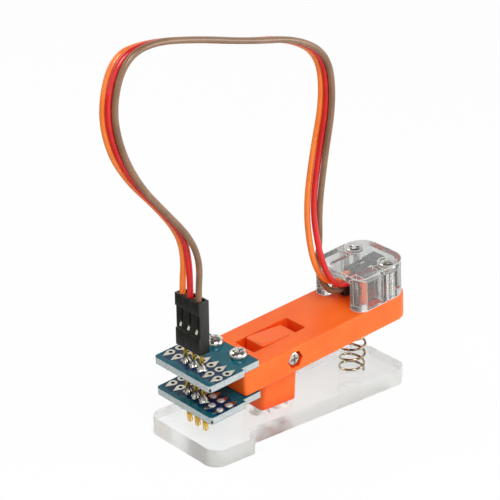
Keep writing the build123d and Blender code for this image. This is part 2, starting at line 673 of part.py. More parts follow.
def make_connector_cover():
    """The clear moulded cover: two wings, a roof over the slot, bosses, pockets and side slits."""
    half = COVER_WIDTH / 2
    cover = block(COVER_FRONT, ARM_REAR, -half, half, ARM_TOP, COVER_TOP)
    cover = fillet(upright_edges(cover, lambda c: c.X > ARM_REAR - NEAR), COVER_REAR_CORNER)
    cover = fillet(upright_edges(cover, lambda c: c.X < COVER_FRONT + NEAR), COVER_FRONT_CORNER)
    cover = fillet(cover.faces().sort_by(Axis.Z)[-1].edges(), COVER_TOP_EDGE)
    cover -= block(COVER_FRONT - PAST, ARM_REAR - COVER_WALL, -SLOT_WIDTH / 2, SLOT_WIDTH / 2,
                   ARM_TOP - PAST, COVER_SLOT_TOP)
    mouth = upright_edges(cover, lambda c: c.X < COVER_FRONT + NEAR and abs(abs(c.Y) - SLOT_WIDTH / 2) < NEAR)
    cover = fillet(mouth, SLOT_CORNER)
    inner = SLOT_WIDTH / 2 + COVER_WALL
    outer = half - COVER_WALL
    for side in (1, -1):
        near, far = sorted((side * inner, side * outer))
        pocket_front = COVER_FRONT + POCKET_FROM_FRONT
        cover -= rounded_block(pocket_front, pocket_front + POCKET_LENGTH, near, far,
                               ARM_TOP - PAST, COVER_SLOT_TOP, POCKET_CORNER)
        slit_front = COVER_FRONT + SLIT_FROM_FRONT
        low, high = sorted((side * (half + PAST), side * (half - SLIT_DEPTH)))
        cover -= block(slit_front, slit_front + SLIT_WIDTH, low, high, ARM_TOP - PAST, COVER_SLOT_TOP)
    for y in mirrored_y(COVER_SCREW_SPACING / 2):
        cover -= rod(SCREW_RADIUS + SCREW_HOLE_GAP, COVER_SCREW_X, y, ARM_TOP - PAST, COVER_TOP + PAST)
        cover -= rod(SCREW_HEAD_RADIUS + HEAD_WELL_GAP, COVER_SCREW_X, y, COVER_TOP - HEAD_WELL_DEPTH,
                     COVER_TOP + PAST)
    return PIVOT_FRAME * cover


def make_cover_screws():
    """The two screws that hold the cover on the lever."""
    screws = []
    seat = COVER_TOP - HEAD_WELL_DEPTH
    for y in mirrored_y(COVER_SCREW_SPACING / 2):
        shank = rod(SCREW_RADIUS, COVER_SCREW_X, y, cover_screw_end(), seat + STATIC_FIT)
        screws.append(PIVOT_FRAME * (pan_head(COVER_SCREW_X, y, seat) + shank))
    return Compound(screws)


def wire_points(index):
    """One wire's route: from its front contact, along the lead, to its rear contact. 0 is the orange one."""
    front_end = MOUTH_DEPTH + FRONT_CONTACT_BOX + FRONT_CRIMP_LENGTH
    rear_end = MOUTH_DEPTH + REAR_CONTACT_BOX + REAR_CRIMP_LENGTH
    points = [front_cell(index) * Pos(FRONT_CRIMP_OFFSET, 0, height)
              for height in (front_end, PLUG_HEIGHT + WIRE_STRAIGHT_OUTSIDE_PLUG)]
    points += [Pos(*row[index]) for row in LEAD_ROUTE]
    points += [rear_cell(index) * Pos(0, 0, height)
               for height in (REAR_PLUG_LENGTH + WIRE_STRAIGHT_OUTSIDE_PLUG, rear_end)]
    return [point.position for point in points]


def bend_radii(points):
    """The largest arc that the runs either side of each point allow."""
    radii = []
    for before, here, after in zip(points, points[1:], points[2:]):
        shorter = min((here - before).length, (after - here).length)
        turn = (here - before).get_angle(after - here)
        radii.append(WIRE_BEND_SHARE * shorter / tan(radians(turn) / 2))
    return radii


def make_wire(index):
    """One wire of the lead, as straight runs joined by tangent arcs."""
    points = wire_points(index)
    radii = bend_radii(points)
    path = FilletPolyline(*points, radius=radii)
    tube = sweep(Plane(path @ 0, z_dir=path % 0) * Circle(WIRE_DIAMETER / 2), path=path)
    section = Circle(WIRE_DIAMETER / 2).area
    print("wire", index, "length", round(path.length, 2), "volume over section times length",
          round(tube.volume / (section * path.length), 4), "smallest radius", round(min(radii), 1))
    print("   radii", [round(radius, 1) for radius in radii])
    return tube


def write(name, shape):
    """Write one node."""
    export_step(shape, f"parts/{name}.step")


os.makedirs("parts", exist_ok=True)
write("base_plate", make_base_plate())
write("base_screws", make_base_screws())
write("pivot_post", make_pivot_post())
write("lever_arm", make_lever_arm())
write("pivot_screw", make_pivot_screw())
write("pivot_nut", make_pivot_nut())
write("return_spring", make_return_spring())
write("upper_board", board(ARM_TOP))
write("lower_board", board(LOWER_BOARD_BOTTOM))
write("board_screws", make_board_screws())
write("board_nuts", make_board_nuts())
for name, y in zip(PROBE_NAMES, probe_rows()):
    write(f"probe_barrel_{name}", make_probe_barrel(y))
    write(f"probe_plunger_{name}", make_probe_plunger(y))
    write(f"probe_spring_{name}", make_probe_spring(y))
write("upper_solder", solder_joints(UPPER_BOARD_TOP))
write("lower_solder", solder_joints(ARM_BOTTOM))
write("plug_housing", make_plug_housing())
write("plug_contacts", make_plug_contacts())
write("rear_plug_double", make_rear_plug_double())
write("rear_plug_single", make_rear_plug_single())
write("rear_contacts", make_rear_contacts())
write("header_block", make_header_block())
write("header_pins", make_header_pins())
write("connector_cover", make_connector_cover())
write("cover_screws", make_cover_screws())
for index, colour in enumerate(("orange", "red", "brown")):
    write(f"wire_{colour}", make_wire(index))
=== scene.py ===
"""Dresses the circuit board test fixture and sets up its picture.

Metres in Blender, in the part's own frame: the origin is the middle of the base's underside, +X runs
along the lever from the probes to the clear cover, -Y is the near side. Sizes in the classes are in
millimetres and follow the part's own. Most pieces are built in the lever's own frame, whose origin is
the pivot.
"""

import json
import logging
import math
from collections.abc import Callable, Iterable, Sequence
from dataclasses import dataclass
from enum import Enum

import bmesh
import bpy
from mathutils import Matrix, Vector


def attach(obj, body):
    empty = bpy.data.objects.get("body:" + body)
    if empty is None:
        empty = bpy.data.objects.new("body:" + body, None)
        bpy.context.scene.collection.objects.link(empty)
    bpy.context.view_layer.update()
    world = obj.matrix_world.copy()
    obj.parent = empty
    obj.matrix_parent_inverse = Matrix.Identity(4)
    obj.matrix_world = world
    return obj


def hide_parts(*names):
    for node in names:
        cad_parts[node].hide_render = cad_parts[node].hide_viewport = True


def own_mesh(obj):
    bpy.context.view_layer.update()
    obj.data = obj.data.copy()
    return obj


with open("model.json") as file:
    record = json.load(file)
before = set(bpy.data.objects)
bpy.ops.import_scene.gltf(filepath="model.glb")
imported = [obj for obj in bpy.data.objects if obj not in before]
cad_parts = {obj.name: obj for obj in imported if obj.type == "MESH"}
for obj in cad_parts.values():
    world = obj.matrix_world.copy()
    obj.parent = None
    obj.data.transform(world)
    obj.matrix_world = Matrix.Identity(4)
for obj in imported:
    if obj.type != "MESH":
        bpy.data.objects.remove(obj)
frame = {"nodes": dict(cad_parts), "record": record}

LOG = logging.getLogger("scene")
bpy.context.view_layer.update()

MM = 0.001
PITCH = 2.54
PIVOT = (-5.28, 0.0, 16.55)
REST_TILT = 5.8

# How far a cutter reaches past the face that it cuts.
BEYOND = 1.0

# A sheet's face and its cut side, told apart by the share of the surface's normal along the sheet's own.
FACE_FLATNESS = 0.75
SIDE_FLATNESS = 0.45

Point = tuple[float, float, float]
Pair = tuple[float, float]
Colour = tuple[float, float, float, float]
Node = bpy.types.Node
Socket = bpy.types.NodeSocket
Material = bpy.types.Material
Mesh = bpy.types.Mesh
Solid = bmesh.types.BMesh
Change = Callable[[bpy.types.Object], None]


class Body(Enum):
    """The moving bodies that pieces ride on."""

    BASE = "base"
    LEVER = "lever"
    LEFT = "plunger_left"
    MIDDLE = "plunger_middle"
    RIGHT = "plunger_right"


class Slot(Enum):
    """The record's material slots."""

    ACRYLIC = "clear_acrylic"
    CLEAR = "clear_plastic"
    ORANGE = "orange_plastic"
    MASK = "board_mask"
    STEEL = "screw_steel"
    SPRING = "spring_steel"
    GOLD = "probe_gold"
    SOLDER = "solder_tin"
    TIN = "contact_tin"
    BLACK = "black_plastic"
    ORANGE_WIRE = "orange_insulation"
    RED_WIRE = "red_insulation"
    BROWN_WIRE = "brown_insulation"


def colour(red: int, green: int, blue: int) -> Colour:
    """Turns a screen colour into the linear values that shaders take, by the usual screen curve.

    Args:
        red: The red value, 0 to 255.
        green: The green value, 0 to 255.
        blue: The blue value, 0 to 255.

    Returns:
        The linear colour with full opacity.
    """
    linear = []
    for value in (red, green, blue):
        share = value / 255
        linear.append(share / 12.92 if share <= 0.04045 else ((share + 0.055) / 1.055) ** 2.4)
    return (linear[0], linear[1], linear[2], 1.0)


def around(radius: float, angle: float) -> Pair:
    """Gives the point at a radius and at an angle, in radians, about the origin."""
    return (radius * math.cos(angle), radius * math.sin(angle))


def lever_matrix(place: Point = (0.0, 0.0, 0.0)) -> Matrix:
    """Gives a frame on the lever, in millimetres, as a matrix to the part's frame in metres.

    Args:
        place: The frame's origin in the lever's own frame.

    Returns:
        The matrix that scales to metres, tilts by the rest angle and moves to the pivot.
    """
    pivot = Matrix.Translation(Vector(PIVOT) * MM)
    tilted = pivot @ Matrix.Rotation(-math.radians(REST_TILT), 4, "Y") @ Matrix.Scale(MM, 4)
    return tilted @ Matrix.Translation(place)


def add_object(name: str, data: bpy.types.ID) -> bpy.types.Object:
    """Puts an object of some data into the scene.

    Args:
        name: The object's name.
        data: Its data.

    Returns:
        The object.
    """
    made = bpy.data.objects.new(name, data)
    bpy.context.scene.collection.objects.link(made)
    return made


def empty_tree(owner: bpy.types.ID) -> bpy.types.NodeTree:
    """Gives a material's or world's node tree, cleared.

    Args:
        owner: The material or world.

    Returns:
        The tree.
    """
    owner.use_nodes = True
    owner.node_tree.nodes.clear()
    return owner.node_tree


class Graph:
    """Adds nodes to one node tree and joins them."""

    def __init__(self, tree: bpy.types.NodeTree) -> None:
        """Starts on a tree."""
        self.tree = tree

    def add(self, kind: str, inputs: dict | None = None, **settings: object) -> Node:
        """Adds a node.

        Args:
            kind: The node's type name.
            inputs: Values or sockets for its inputs, by name or number.
            settings: The node's own settings.

        Returns:
            The node.
        """
        node = self.tree.nodes.new(kind)
        for name, value in settings.items():
            setattr(node, name, value)
        self.set(node, inputs or {})
        return node

    def set(self, node: Node, inputs: dict) -> None:
        """Gives a node's inputs links or plain values.

        Args:
            node: The node.
            inputs: Values or sockets for its inputs, by name or number.
        """
        for name, value in inputs.items():
            if isinstance(value, bpy.types.NodeSocket):
                self.tree.links.new(value, node.inputs[name])
            else:
                node.inputs[name].default_value = value

    def made(self, kind: str, inputs: dict, **settings: object) -> Socket:
        """Adds a node and gives its first output."""
        return self.add(kind, inputs, **settings).outputs[0]

    def math(self, operation: str, first: object, second: object) -> Socket:
        """Adds a Math node.

        Args:
            operation: The Math node's operation.
            first: The first value or socket.
            second: The second value or socket.

        Returns:
            The result's socket.
        """
        return self.made("ShaderNodeMath", {0: first, 1: second}, operation=operation)

    def mix(self, share: object, first: object, second: object) -> Socket:
        """Mixes two colours.

        Args:
            share: How much of the second, as a value or socket.
            first: The first colour or socket.
            second: The second colour or socket.

        Returns:
            The mixed colour's socket.
        """
        return self.add("ShaderNodeMix", {"Factor": share, 6: first, 7: second}, data_type="RGBA").outputs[2]

    def ramp(self, value: Socket, low: object = 0.0, high: object = 1.0, first: object = 0.0,
             last: object = 1.0, **settings: object) -> Socket:
        """Turns one span of values into another, and holds its ends.

        Args:
            value: The value's socket.
            low: Where the span starts.
            high: Where the span ends.
            first: What its start becomes.
            last: What its end becomes.
            settings: The node's own settings.

        Returns:
            The result's socket.
        """
        return self.made("ShaderNodeMapRange", {0: value, 1: low, 2: high, 3: first, 4: last}, **settings)

    def band(self, value: Socket, low: float, high: float, soft: float) -> Socket:
        """Gives 1 where a value lies between two limits, with soft ends.

        Args:
            value: The value's socket.
            low: The lower limit.
            high: The upper limit.
            soft: The width of each soft end.

        Returns:
            The mask's socket.
        """
        rise = self.ramp(value, low - soft, low + soft)
        fall = self.ramp(value, high - soft, high + soft, 1.0, 0.0)
        return self.math("MULTIPLY", rise, fall)

    def noise(self, place: Socket, count: object, **inputs: float) -> Socket:
        """Adds a noise pattern.

        Args:
            place: The coordinates.
            count: How many specks there are to a unit of length.
            inputs: The node's other inputs, by name.

        Returns:
            The pattern's socket.
        """
        return self.add("ShaderNodeTexNoise", {"Vector": place, "Scale": count, **inputs}).outputs["Fac"]


class Group(Graph):
    """A node group with named inputs and outputs."""

    def __init__(self, name: str, kind: str, inputs: dict[str, str], outputs: dict[str, str]) -> None:
        """Starts the group.

        Args:
            name: The group's name.
            kind: Its kind of tree.
            inputs: Each input's kind of socket, by its name.
            outputs: Each output's kind of socket, by its name.
        """
        super().__init__(bpy.data.node_groups.new(name, kind))
        for way, sockets in (("INPUT", inputs), ("OUTPUT", outputs)):
            for label, socket in sockets.items():
                self.tree.interface.new_socket(label, in_out=way, socket_type=f"NodeSocket{socket}")
        self.given = self.add("NodeGroupInput")
        self.result = self.add("NodeGroupOutput")

    def take(self, label: str) -> Socket:
        """Gives one of the group's inputs."""
        return self.given.outputs[label]

    def give(self, label: str, value: Socket) -> None:
        """Puts a value out of the group."""
        self.set(self.result, {label: value})


class ShaderGroups:
    """The effects that several finishes share, as node groups made once."""

    DRIFT_SPAN = (0.35, 0.65)
    MARKS_SPAN = (0.3, 0.7)

    def __init__(self) -> None:
        """Makes the groups."""
        self.grain = self._grain()
        self.drift = self._drift()
        self.marks = self._marks()
        self.lever = self._lever()

    @staticmethod
    def _specks(group: Group, **inputs: float) -> Socket:
        """Adds noise on the piece's own coordinates, with specks of the group's Size.

        Args:
            group: The group, which has an input named Size.
            inputs: The noise's other inputs, by name.

        Returns:
            The noise's socket.
        """
        place = group.add("ShaderNodeTexCoord").outputs["Object"]
        return group.noise(place, group.math("DIVIDE", 1.0, group.take("Size")), **inputs)

    def _grain(self) -> bpy.types.NodeTree:
        """Makes a fine grain on rounded edges.

        Returns:
            The group, which gives a normal.
        """
        group = Group("Fine grain", "ShaderNodeTree", {"Size": "Float", "Depth": "Float", "Edge": "Float"},
                      {"Normal": "Vector"})
        edge = group.made("ShaderNodeBevel", {"Radius": group.take("Edge")}, samples=4)
        specks = self._specks(group, Detail=3.0, Roughness=0.6)
        group.give("Normal", group.made("ShaderNodeBump", {
            "Height": specks, "Distance": group.take("Depth"), "Normal": edge}))
        return group.tree

    def _drift(self) -> bpy.types.NodeTree:
        """Makes a slow drift between two colours.

        Returns:
            The group, which gives a colour.
        """
        group = Group("Colour drift", "ShaderNodeTree",
                      {"Size": "Float", "First": "Color", "Second": "Color"}, {"Color": "Color"})
        share = group.ramp(self._specks(group, Detail=4.0, Roughness=0.55), *self.DRIFT_SPAN)
        group.give("Color", group.mix(share, group.take("First"), group.take("Second")))
        return group.tree

    def _marks(self) -> bpy.types.NodeTree:
        """Makes faint handling marks.

        Returns:
            The group, which gives a roughness between the two given.
        """
        group = Group("Handling marks", "ShaderNodeTree", {"Size": "Float", "Low": "Float", "High": "Float"},
                      {"Roughness": "Float"})
        specks = self._specks(group, Detail=6.0, Roughness=0.7, Distortion=1.5)
        group.give("Roughness", group.ramp(specks, *self.MARKS_SPAN, group.take("Low"), group.take("High")))
        return group.tree

    @staticmethod
    def _lever() -> bpy.types.NodeTree:
        """Makes the lever's own coordinates.

        Returns:
            The group, which gives the place in millimetres and how far the surface faces up or down.
        """
        group = Group("Lever frame", "ShaderNodeTree", {}, {"Place": "Vector", "Flatness": "Float"})
        place = group.add("ShaderNodeTexCoord")
        tilt = math.radians(REST_TILT)
        away = group.made("ShaderNodeVectorMath", {0: place.outputs["Object"], 1: Vector(PIVOT) * MM},
                          operation="SUBTRACT")
        turned = group.made("ShaderNodeVectorRotate", {"Vector": away, "Angle": tilt}, rotation_type="Y_AXIS")
        group.give("Place", group.made("ShaderNodeVectorMath", {0: turned, "Scale": 1 / MM},
                                       operation="SCALE"))
        up = (-math.sin(tilt), 0.0, math.cos(tilt))
        facing = group.add("ShaderNodeVectorMath", {0: place.outputs["Normal"], 1: up},
                           operation="DOT_PRODUCT")
        group.give("Flatness", group.made("ShaderNodeMath", {0: facing.outputs["Value"]},
                                          operation="ABSOLUTE"))
        return group.tree


class Paint(Graph):
    """One material's graph, with its Principled shader and the shared effects. Sizes in millimetres."""

    def __init__(self, material: Material, groups: ShaderGroups) -> None:
        """Starts the graph.

        Args:
            material: The material, whose nodes are cleared.
            groups: The shared effects.
        """
        super().__init__(empty_tree(material))
        self.groups = groups
        self.shader = self.add("ShaderNodeBsdfPrincipled")
        self.add("ShaderNodeOutputMaterial", {"Surface": self.shader.outputs[0]})

    def use(self, group: bpy.types.NodeTree, **inputs: object) -> Node:
        """Adds a shared effect.

        Args:
            group: The effect's group.
            inputs: Its inputs by name.

        Returns:
            The group's node.
        """
        node = self.add("ShaderNodeGroup", node_tree=group)
        self.set(node, inputs)
        return node

    def drift(self, size: float, first: Colour, second: Colour) -> Socket:
        """Gives a colour that drifts between two, over patches of a size."""
        return self.use(self.groups.drift, Size=size * MM, First=first, Second=second).outputs[0]

    def marks(self, size: float, span: Pair) -> Socket:
        """Gives a roughness that varies within a span, over patches of a size."""
        return self.use(self.groups.marks, Size=size * MM, Low=span[0], High=span[1]).outputs[0]

    def bump(self, height: Socket, depth: float) -> Socket:
        """Gives the normal of a relief of a depth."""
        return self.made("ShaderNodeBump", {"Height": height, "Distance": depth * MM})

    def side(self, flatness: Socket) -> Socket:
        """Gives 0 on a sheet's faces and 1 on its cut sides."""
        return self.ramp(flatness, FACE_FLATNESS, SIDE_FLATNESS)

    def dress(self, **inputs: object) -> None:
        """Sets the shader's inputs, each named with underscores for spaces."""
        self.set(self.shader, {name.replace("_", " "): value for name, value in inputs.items()})


class Finish:
    """What every finish shares: its material, built once."""

    name: str

    def build(self, groups: ShaderGroups) -> Material:
        """Builds the material.

        Args:
            groups: The shared effects.

        Returns:
            The material.
        """
        material = bpy.data.materials.new(self.name)
        self.dress(Paint(material, groups))
        return material

    def dress(self, paint: Paint) -> None:
        """Sets the shader. Each finish has its own."""
        raise NotImplementedError


@dataclass(frozen=True)
class Coating(Finish):
    """A surface whose colour and gloss drift a little, with a fine grain and soft edges. In millimetres."""

    name: str
    first: Colour
    second: Colour
    roughness: Pair
    grain_size: float = 0.25
    grain_depth: float = 0.004
    edge: float = 0.15
    drift_size: float = 6.0

    def dress(self, paint: Paint) -> None:
        """Sets the shader's colour, roughness and normal.

        Args:
            paint: The material's graph.
        """
        tone = paint.drift(self.drift_size, self.first, self.second)
        grain = paint.use(paint.groups.grain, Size=self.grain_size * MM, Depth=self.grain_depth * MM,
                          Edge=self.edge * MM)
        paint.dress(Base_Color=self.shaded(paint, tone), Normal=grain.outputs[0],
                    Roughness=paint.marks(self.drift_size, self.roughness))

    def shaded(self, paint: Paint, tone: Socket) -> Socket:
        """Gives the surface's colour from its drifting tone."""
        return tone


@dataclass(frozen=True)
class MouldedPlastic(Coating):
    """Satin moulded plastic. Its hollows may take painted shade, a darker colour where little light comes in.
    """

    glow: float = 0.0
    glow_reach: float = 0.4
    shine: float = 0.5
    painted_shade: Colour | None = None
    painted_shade_reach: float = 5.0
    painted_shade_span: Pair = (0.4, 0.8)

    def dress(self, paint: Paint) -> None:
        """Sets the shader.

        Args:
            paint: The material's graph.
        """
        super().dress(paint)
        paint.dress(Specular_IOR_Level=self.shine, Subsurface_Weight=self.glow,
                    Subsurface_Scale=self.glow_reach * MM)

    def shaded(self, paint: Paint, tone: Socket) -> Socket:
        """Gives the surface's colour with painted shade: it turns to a darker colour where little light comes
        in.

        Args:
            paint: The material's graph.
            tone: The drifting tone.

        Returns:
            The colour's socket.
        """
        if not self.painted_shade:
            return tone
        # Painted shade: ambient occlusion darkens and reddens the colour in hollows and under parts.
        cavity = paint.add("ShaderNodeAmbientOcclusion", {"Distance": self.painted_shade_reach * MM}, samples=8)
        return paint.mix(paint.ramp(cavity.outputs["AO"], *self.painted_shade_span, 1.0, 0.0), tone, self.painted_shade)


@dataclass(frozen=True)
class Metal(Coating):
    """Bare or plated metal with faint marks."""

    grain_size: float = 0.3
    grain_depth: float = 0.003
    edge: float = 0.05
    drift_size: float = 1.5

    def dress(self, paint: Paint) -> None:
        """Sets the shader."""
        super().dress(paint)
        paint.dress(Metallic=1.0)


@dataclass(frozen=True)
class Insulation(Finish):
    """Soft wire insulation, a little uneven in colour. Sizes in millimetres."""

    name: str
    first: Colour
    second: Colour
    roughness: Pair = (0.15, 0.25)
    drift_size: float = 5.0
    mark_size: float = 2.0
    shine: float = 0.65
    glow: float = 0.15
    glow_reach: float = 0.3

    def dress(self, paint: Paint) -> None:
        """Sets the shader.

        Args:
            paint: The material's graph.
        """
        paint.dress(Base_Color=paint.drift(self.drift_size, self.first, self.second),
                    Roughness=paint.marks(self.mark_size, self.roughness), Specular_IOR_Level=self.shine,
                    Subsurface_Weight=self.glow, Subsurface_Scale=self.glow_reach * MM)


@dataclass(frozen=True)
class ClearSheet(Finish):
    """Clear acrylic or moulded clear plastic. Its cut sides may be rougher than its faces, and take a darker
    colour, painted shade on the sides.
    """

    name: str
    tint: Colour
    shade: Colour
    painted_side_shade: Colour
    face_roughness: Pair
    side_roughness: float
    clarity: float
    bend: float
    grain_size: float
    grain_depth: float
    drift_size: float = 8.0
    mark_size: float = 4.0

    def dress(self, paint: Paint) -> None:
        """Sets the shader.

        Args:
            paint: The material's graph.
        """
        place = paint.add("ShaderNodeTexCoord")
        split = paint.add("ShaderNodeSeparateXYZ", {0: place.outputs["Normal"]})
        side = paint.side(paint.made("ShaderNodeMath", {0: split.outputs["Z"]}, operation="ABSOLUTE"))
        tone = paint.drift(self.drift_size, self.tint, self.shade)
        rough = paint.math("ADD", paint.marks(self.mark_size, self.face_roughness),
                           paint.math("MULTIPLY", side, self.side_roughness))
        ripple = paint.noise(place.outputs["Object"], 1 / (self.grain_size * MM), Detail=2.0)
        # The sides' own darker colour is painted shade.
        paint.dress(Base_Color=paint.mix(side, tone, self.painted_side_shade), Roughness=rough,
                    Normal=paint.bump(ripple, self.grain_depth), Transmission_Weight=self.clarity,
                    IOR=self.bend)


@dataclass(frozen=True)
class CircuitBoard(Finish):
    """Solder mask over copper on both faces, and cut glass fibre on the edges. Sizes in millimetres."""

    name: str
    mask: Colour = colour(8, 93, 106)
    mask_second: Colour = colour(5, 82, 97)
    mask_roughness: Pair = (0.08, 0.16)
    mask_size: float = 3.0
    shine: float = 0.2
    bare: Colour = colour(12, 46, 80)
    pad_rows: Pair = (-23.1, -17.0)
    half_width: float = 8.9
    bare_edge: float = 0.06
    step_count: float = 0.35
    step_reach: float = 1.1
    fibre: Colour = colour(204, 212, 212)
    fibre_dark: Colour = colour(118, 134, 136)
    fibre_roughness: float = 0.65
    strand_count: float = 3.2
    strand_span: Pair = (0.42, 0.68)
    faces: tuple[float, ...] = (4.6, 3.0, -3.0, -4.6)
    rim: Colour = colour(60, 84, 88)
    rim_width: float = 0.09
    rim_edge: float = 0.02
    rim_share: float = 0.7
    bare_sink: float = -0.5
    relief: float = 0.03

    def dress(self, paint: Paint) -> None:
        """Sets the shader.

        Args:
            paint: The material's graph.
        """
        lever = paint.use(paint.groups.lever)
        place = lever.outputs["Place"]
        split = paint.add("ShaderNodeSeparateXYZ", {0: place})
        side = paint.side(lever.outputs["Flatness"])
        strands = paint.noise(place, self.strand_count, Detail=6.0, Roughness=0.85)
        window = self.bare_window(paint, place, split)
        face = paint.mix(window, paint.drift(self.mask_size, self.mask, self.mask_second), self.bare)
        rough = paint.ramp(side, first=paint.marks(self.mask_size, self.mask_roughness),
                           last=self.fibre_roughness)
        height = paint.math("ADD", paint.math("MULTIPLY", window, self.bare_sink),
                            paint.math("MULTIPLY", strands, side))
        paint.dress(Base_Color=paint.mix(side, face, self.cut_edge(paint, strands, split)), Roughness=rough,
                    Normal=paint.bump(height, self.relief), Specular_IOR_Level=self.shine)

    def bare_window(self, paint: Paint, place: Socket, split: Node) -> Socket:
        """Gives 1 in the darker field about the pads, whose outline has small steps.

        Args:
            paint: The material's graph.
            place: The place in the lever's frame.
            split: The place's three parts.

        Returns:
            The mask's socket.
        """
        cells = paint.add("ShaderNodeTexVoronoi", {"Vector": place, "Scale": self.step_count},
                          distance="MANHATTAN")
        step = paint.math("MULTIPLY", paint.math("SUBTRACT", cells.outputs["Distance"], 0.5), self.step_reach)
        along = paint.math("ADD", split.outputs["X"], step)
        across = paint.math("ADD", split.outputs["Y"], step)
        return paint.math("MULTIPLY", paint.band(along, *self.pad_rows, self.bare_edge),
                          paint.band(across, -self.half_width, self.half_width, self.bare_edge))

    def cut_edge(self, paint: Paint, strands: Socket, split: Node) -> Socket:
        """Gives the colour of the cut glass fibre, with a dark line along each face.

        Args:
            paint: The material's graph.
            strands: The fibre's pattern.
            split: The place's three parts.

        Returns:
            The colour's socket.
        """
        cut = paint.mix(paint.ramp(strands, *self.strand_span), self.fibre, self.fibre_dark)
        for face in self.faces:
            line = paint.band(split.outputs["Z"], face - self.rim_width, face + self.rim_width, self.rim_edge)
            cut = paint.mix(paint.math("MULTIPLY", line, self.rim_share), cut, self.rim)
        return cut


class Palette:
    """All finishes by slot, built once."""

    def __init__(self) -> None:
        """Builds the materials."""
        groups = ShaderGroups()
        finishes: dict[Slot, Finish] = {
            Slot.ACRYLIC: ClearSheet("Clear acrylic", colour(253, 254, 253), colour(249, 251, 250),
                                     colour(250, 251, 248), face_roughness=(0.0, 0.03), side_roughness=0.42,
                                     clarity=0.88, bend=1.22, grain_size=3.0, grain_depth=0.003),
            Slot.CLEAR: ClearSheet("Clear moulding", colour(254, 254, 253), colour(250, 251, 250),
                                   colour(235, 236, 234), face_roughness=(0.0, 0.02), side_roughness=0.02,
                                   clarity=0.93, bend=1.27, grain_size=2.0, grain_depth=0.001),
            # The orange's darker red in its hollows is painted shade.
            Slot.ORANGE: MouldedPlastic("Orange plastic", colour(254, 111, 25), colour(249, 101, 19),
                                        (0.34, 0.5), edge=0.3, glow=0.1, shine=0.42,
                                        painted_shade=colour(244, 74, 14)),
            Slot.MASK: CircuitBoard("Circuit board"),
            Slot.STEEL: Metal("Plated steel", colour(222, 220, 216), colour(196, 193, 187), (0.1, 0.2)),
            Slot.SPRING: Metal("Spring wire", colour(208, 198, 168), colour(88, 78, 58), (0.04, 0.1),
                               drift_size=0.9),
            Slot.GOLD: Metal("Gold plating", colour(240, 204, 100), colour(206, 156, 60), (0.06, 0.16)),
            Slot.SOLDER: Metal("Solder", colour(186, 184, 178), colour(132, 129, 122), (0.05, 0.14),
                               grain_size=0.7, grain_depth=0.01),
            Slot.TIN: Metal("Tinned strip", colour(234, 231, 218), colour(214, 208, 192), (0.2, 0.35)),
            Slot.BLACK: MouldedPlastic("Black plastic", colour(30, 31, 24), colour(24, 25, 19), (0.26, 0.36),
                                       grain_size=0.18, grain_depth=0.003, edge=0.08),
            Slot.ORANGE_WIRE: Insulation("Orange insulation", colour(250, 138, 54), colour(240, 122, 40)),
            Slot.RED_WIRE: Insulation("Red insulation", colour(222, 30, 27), colour(200, 22, 21)),
            Slot.BROWN_WIRE: Insulation("Brown insulation", colour(142, 106, 78), colour(124, 92, 66)),
        }
        self.materials = {slot: finish.build(groups) for slot, finish in finishes.items()}
        # A white finish for the lines on the cover's edges: painted highlights for light that the edges
        # catch.
        self.painted_edge_highlight = MouldedPlastic("Painted edge highlight", colour(236, 238, 236), colour(214, 218, 217),
                                          (0.15, 0.3), edge=0.02).build(groups)
        self.dull_zinc = Metal("Dull zinc", colour(244, 244, 242), colour(234, 234, 232),
                               (0.6, 0.75)).build(groups)

    def dress_nodes(self) -> None:
        """Gives every node of the part the material of its slot, and the base's hidden screws dull zinc."""
        for part in frame["record"]["subparts"]:
            hidden = part["node"] == "base_screws"
            material = self.dull_zinc if hidden else self.materials[Slot(part["material_slot"])]
            shown = frame["nodes"][part["node"]]
            shown.data.materials.clear()
            shown.data.materials.append(material)
            shown.data.polygons.foreach_set("material_index", [0] * len(shown.data.polygons))


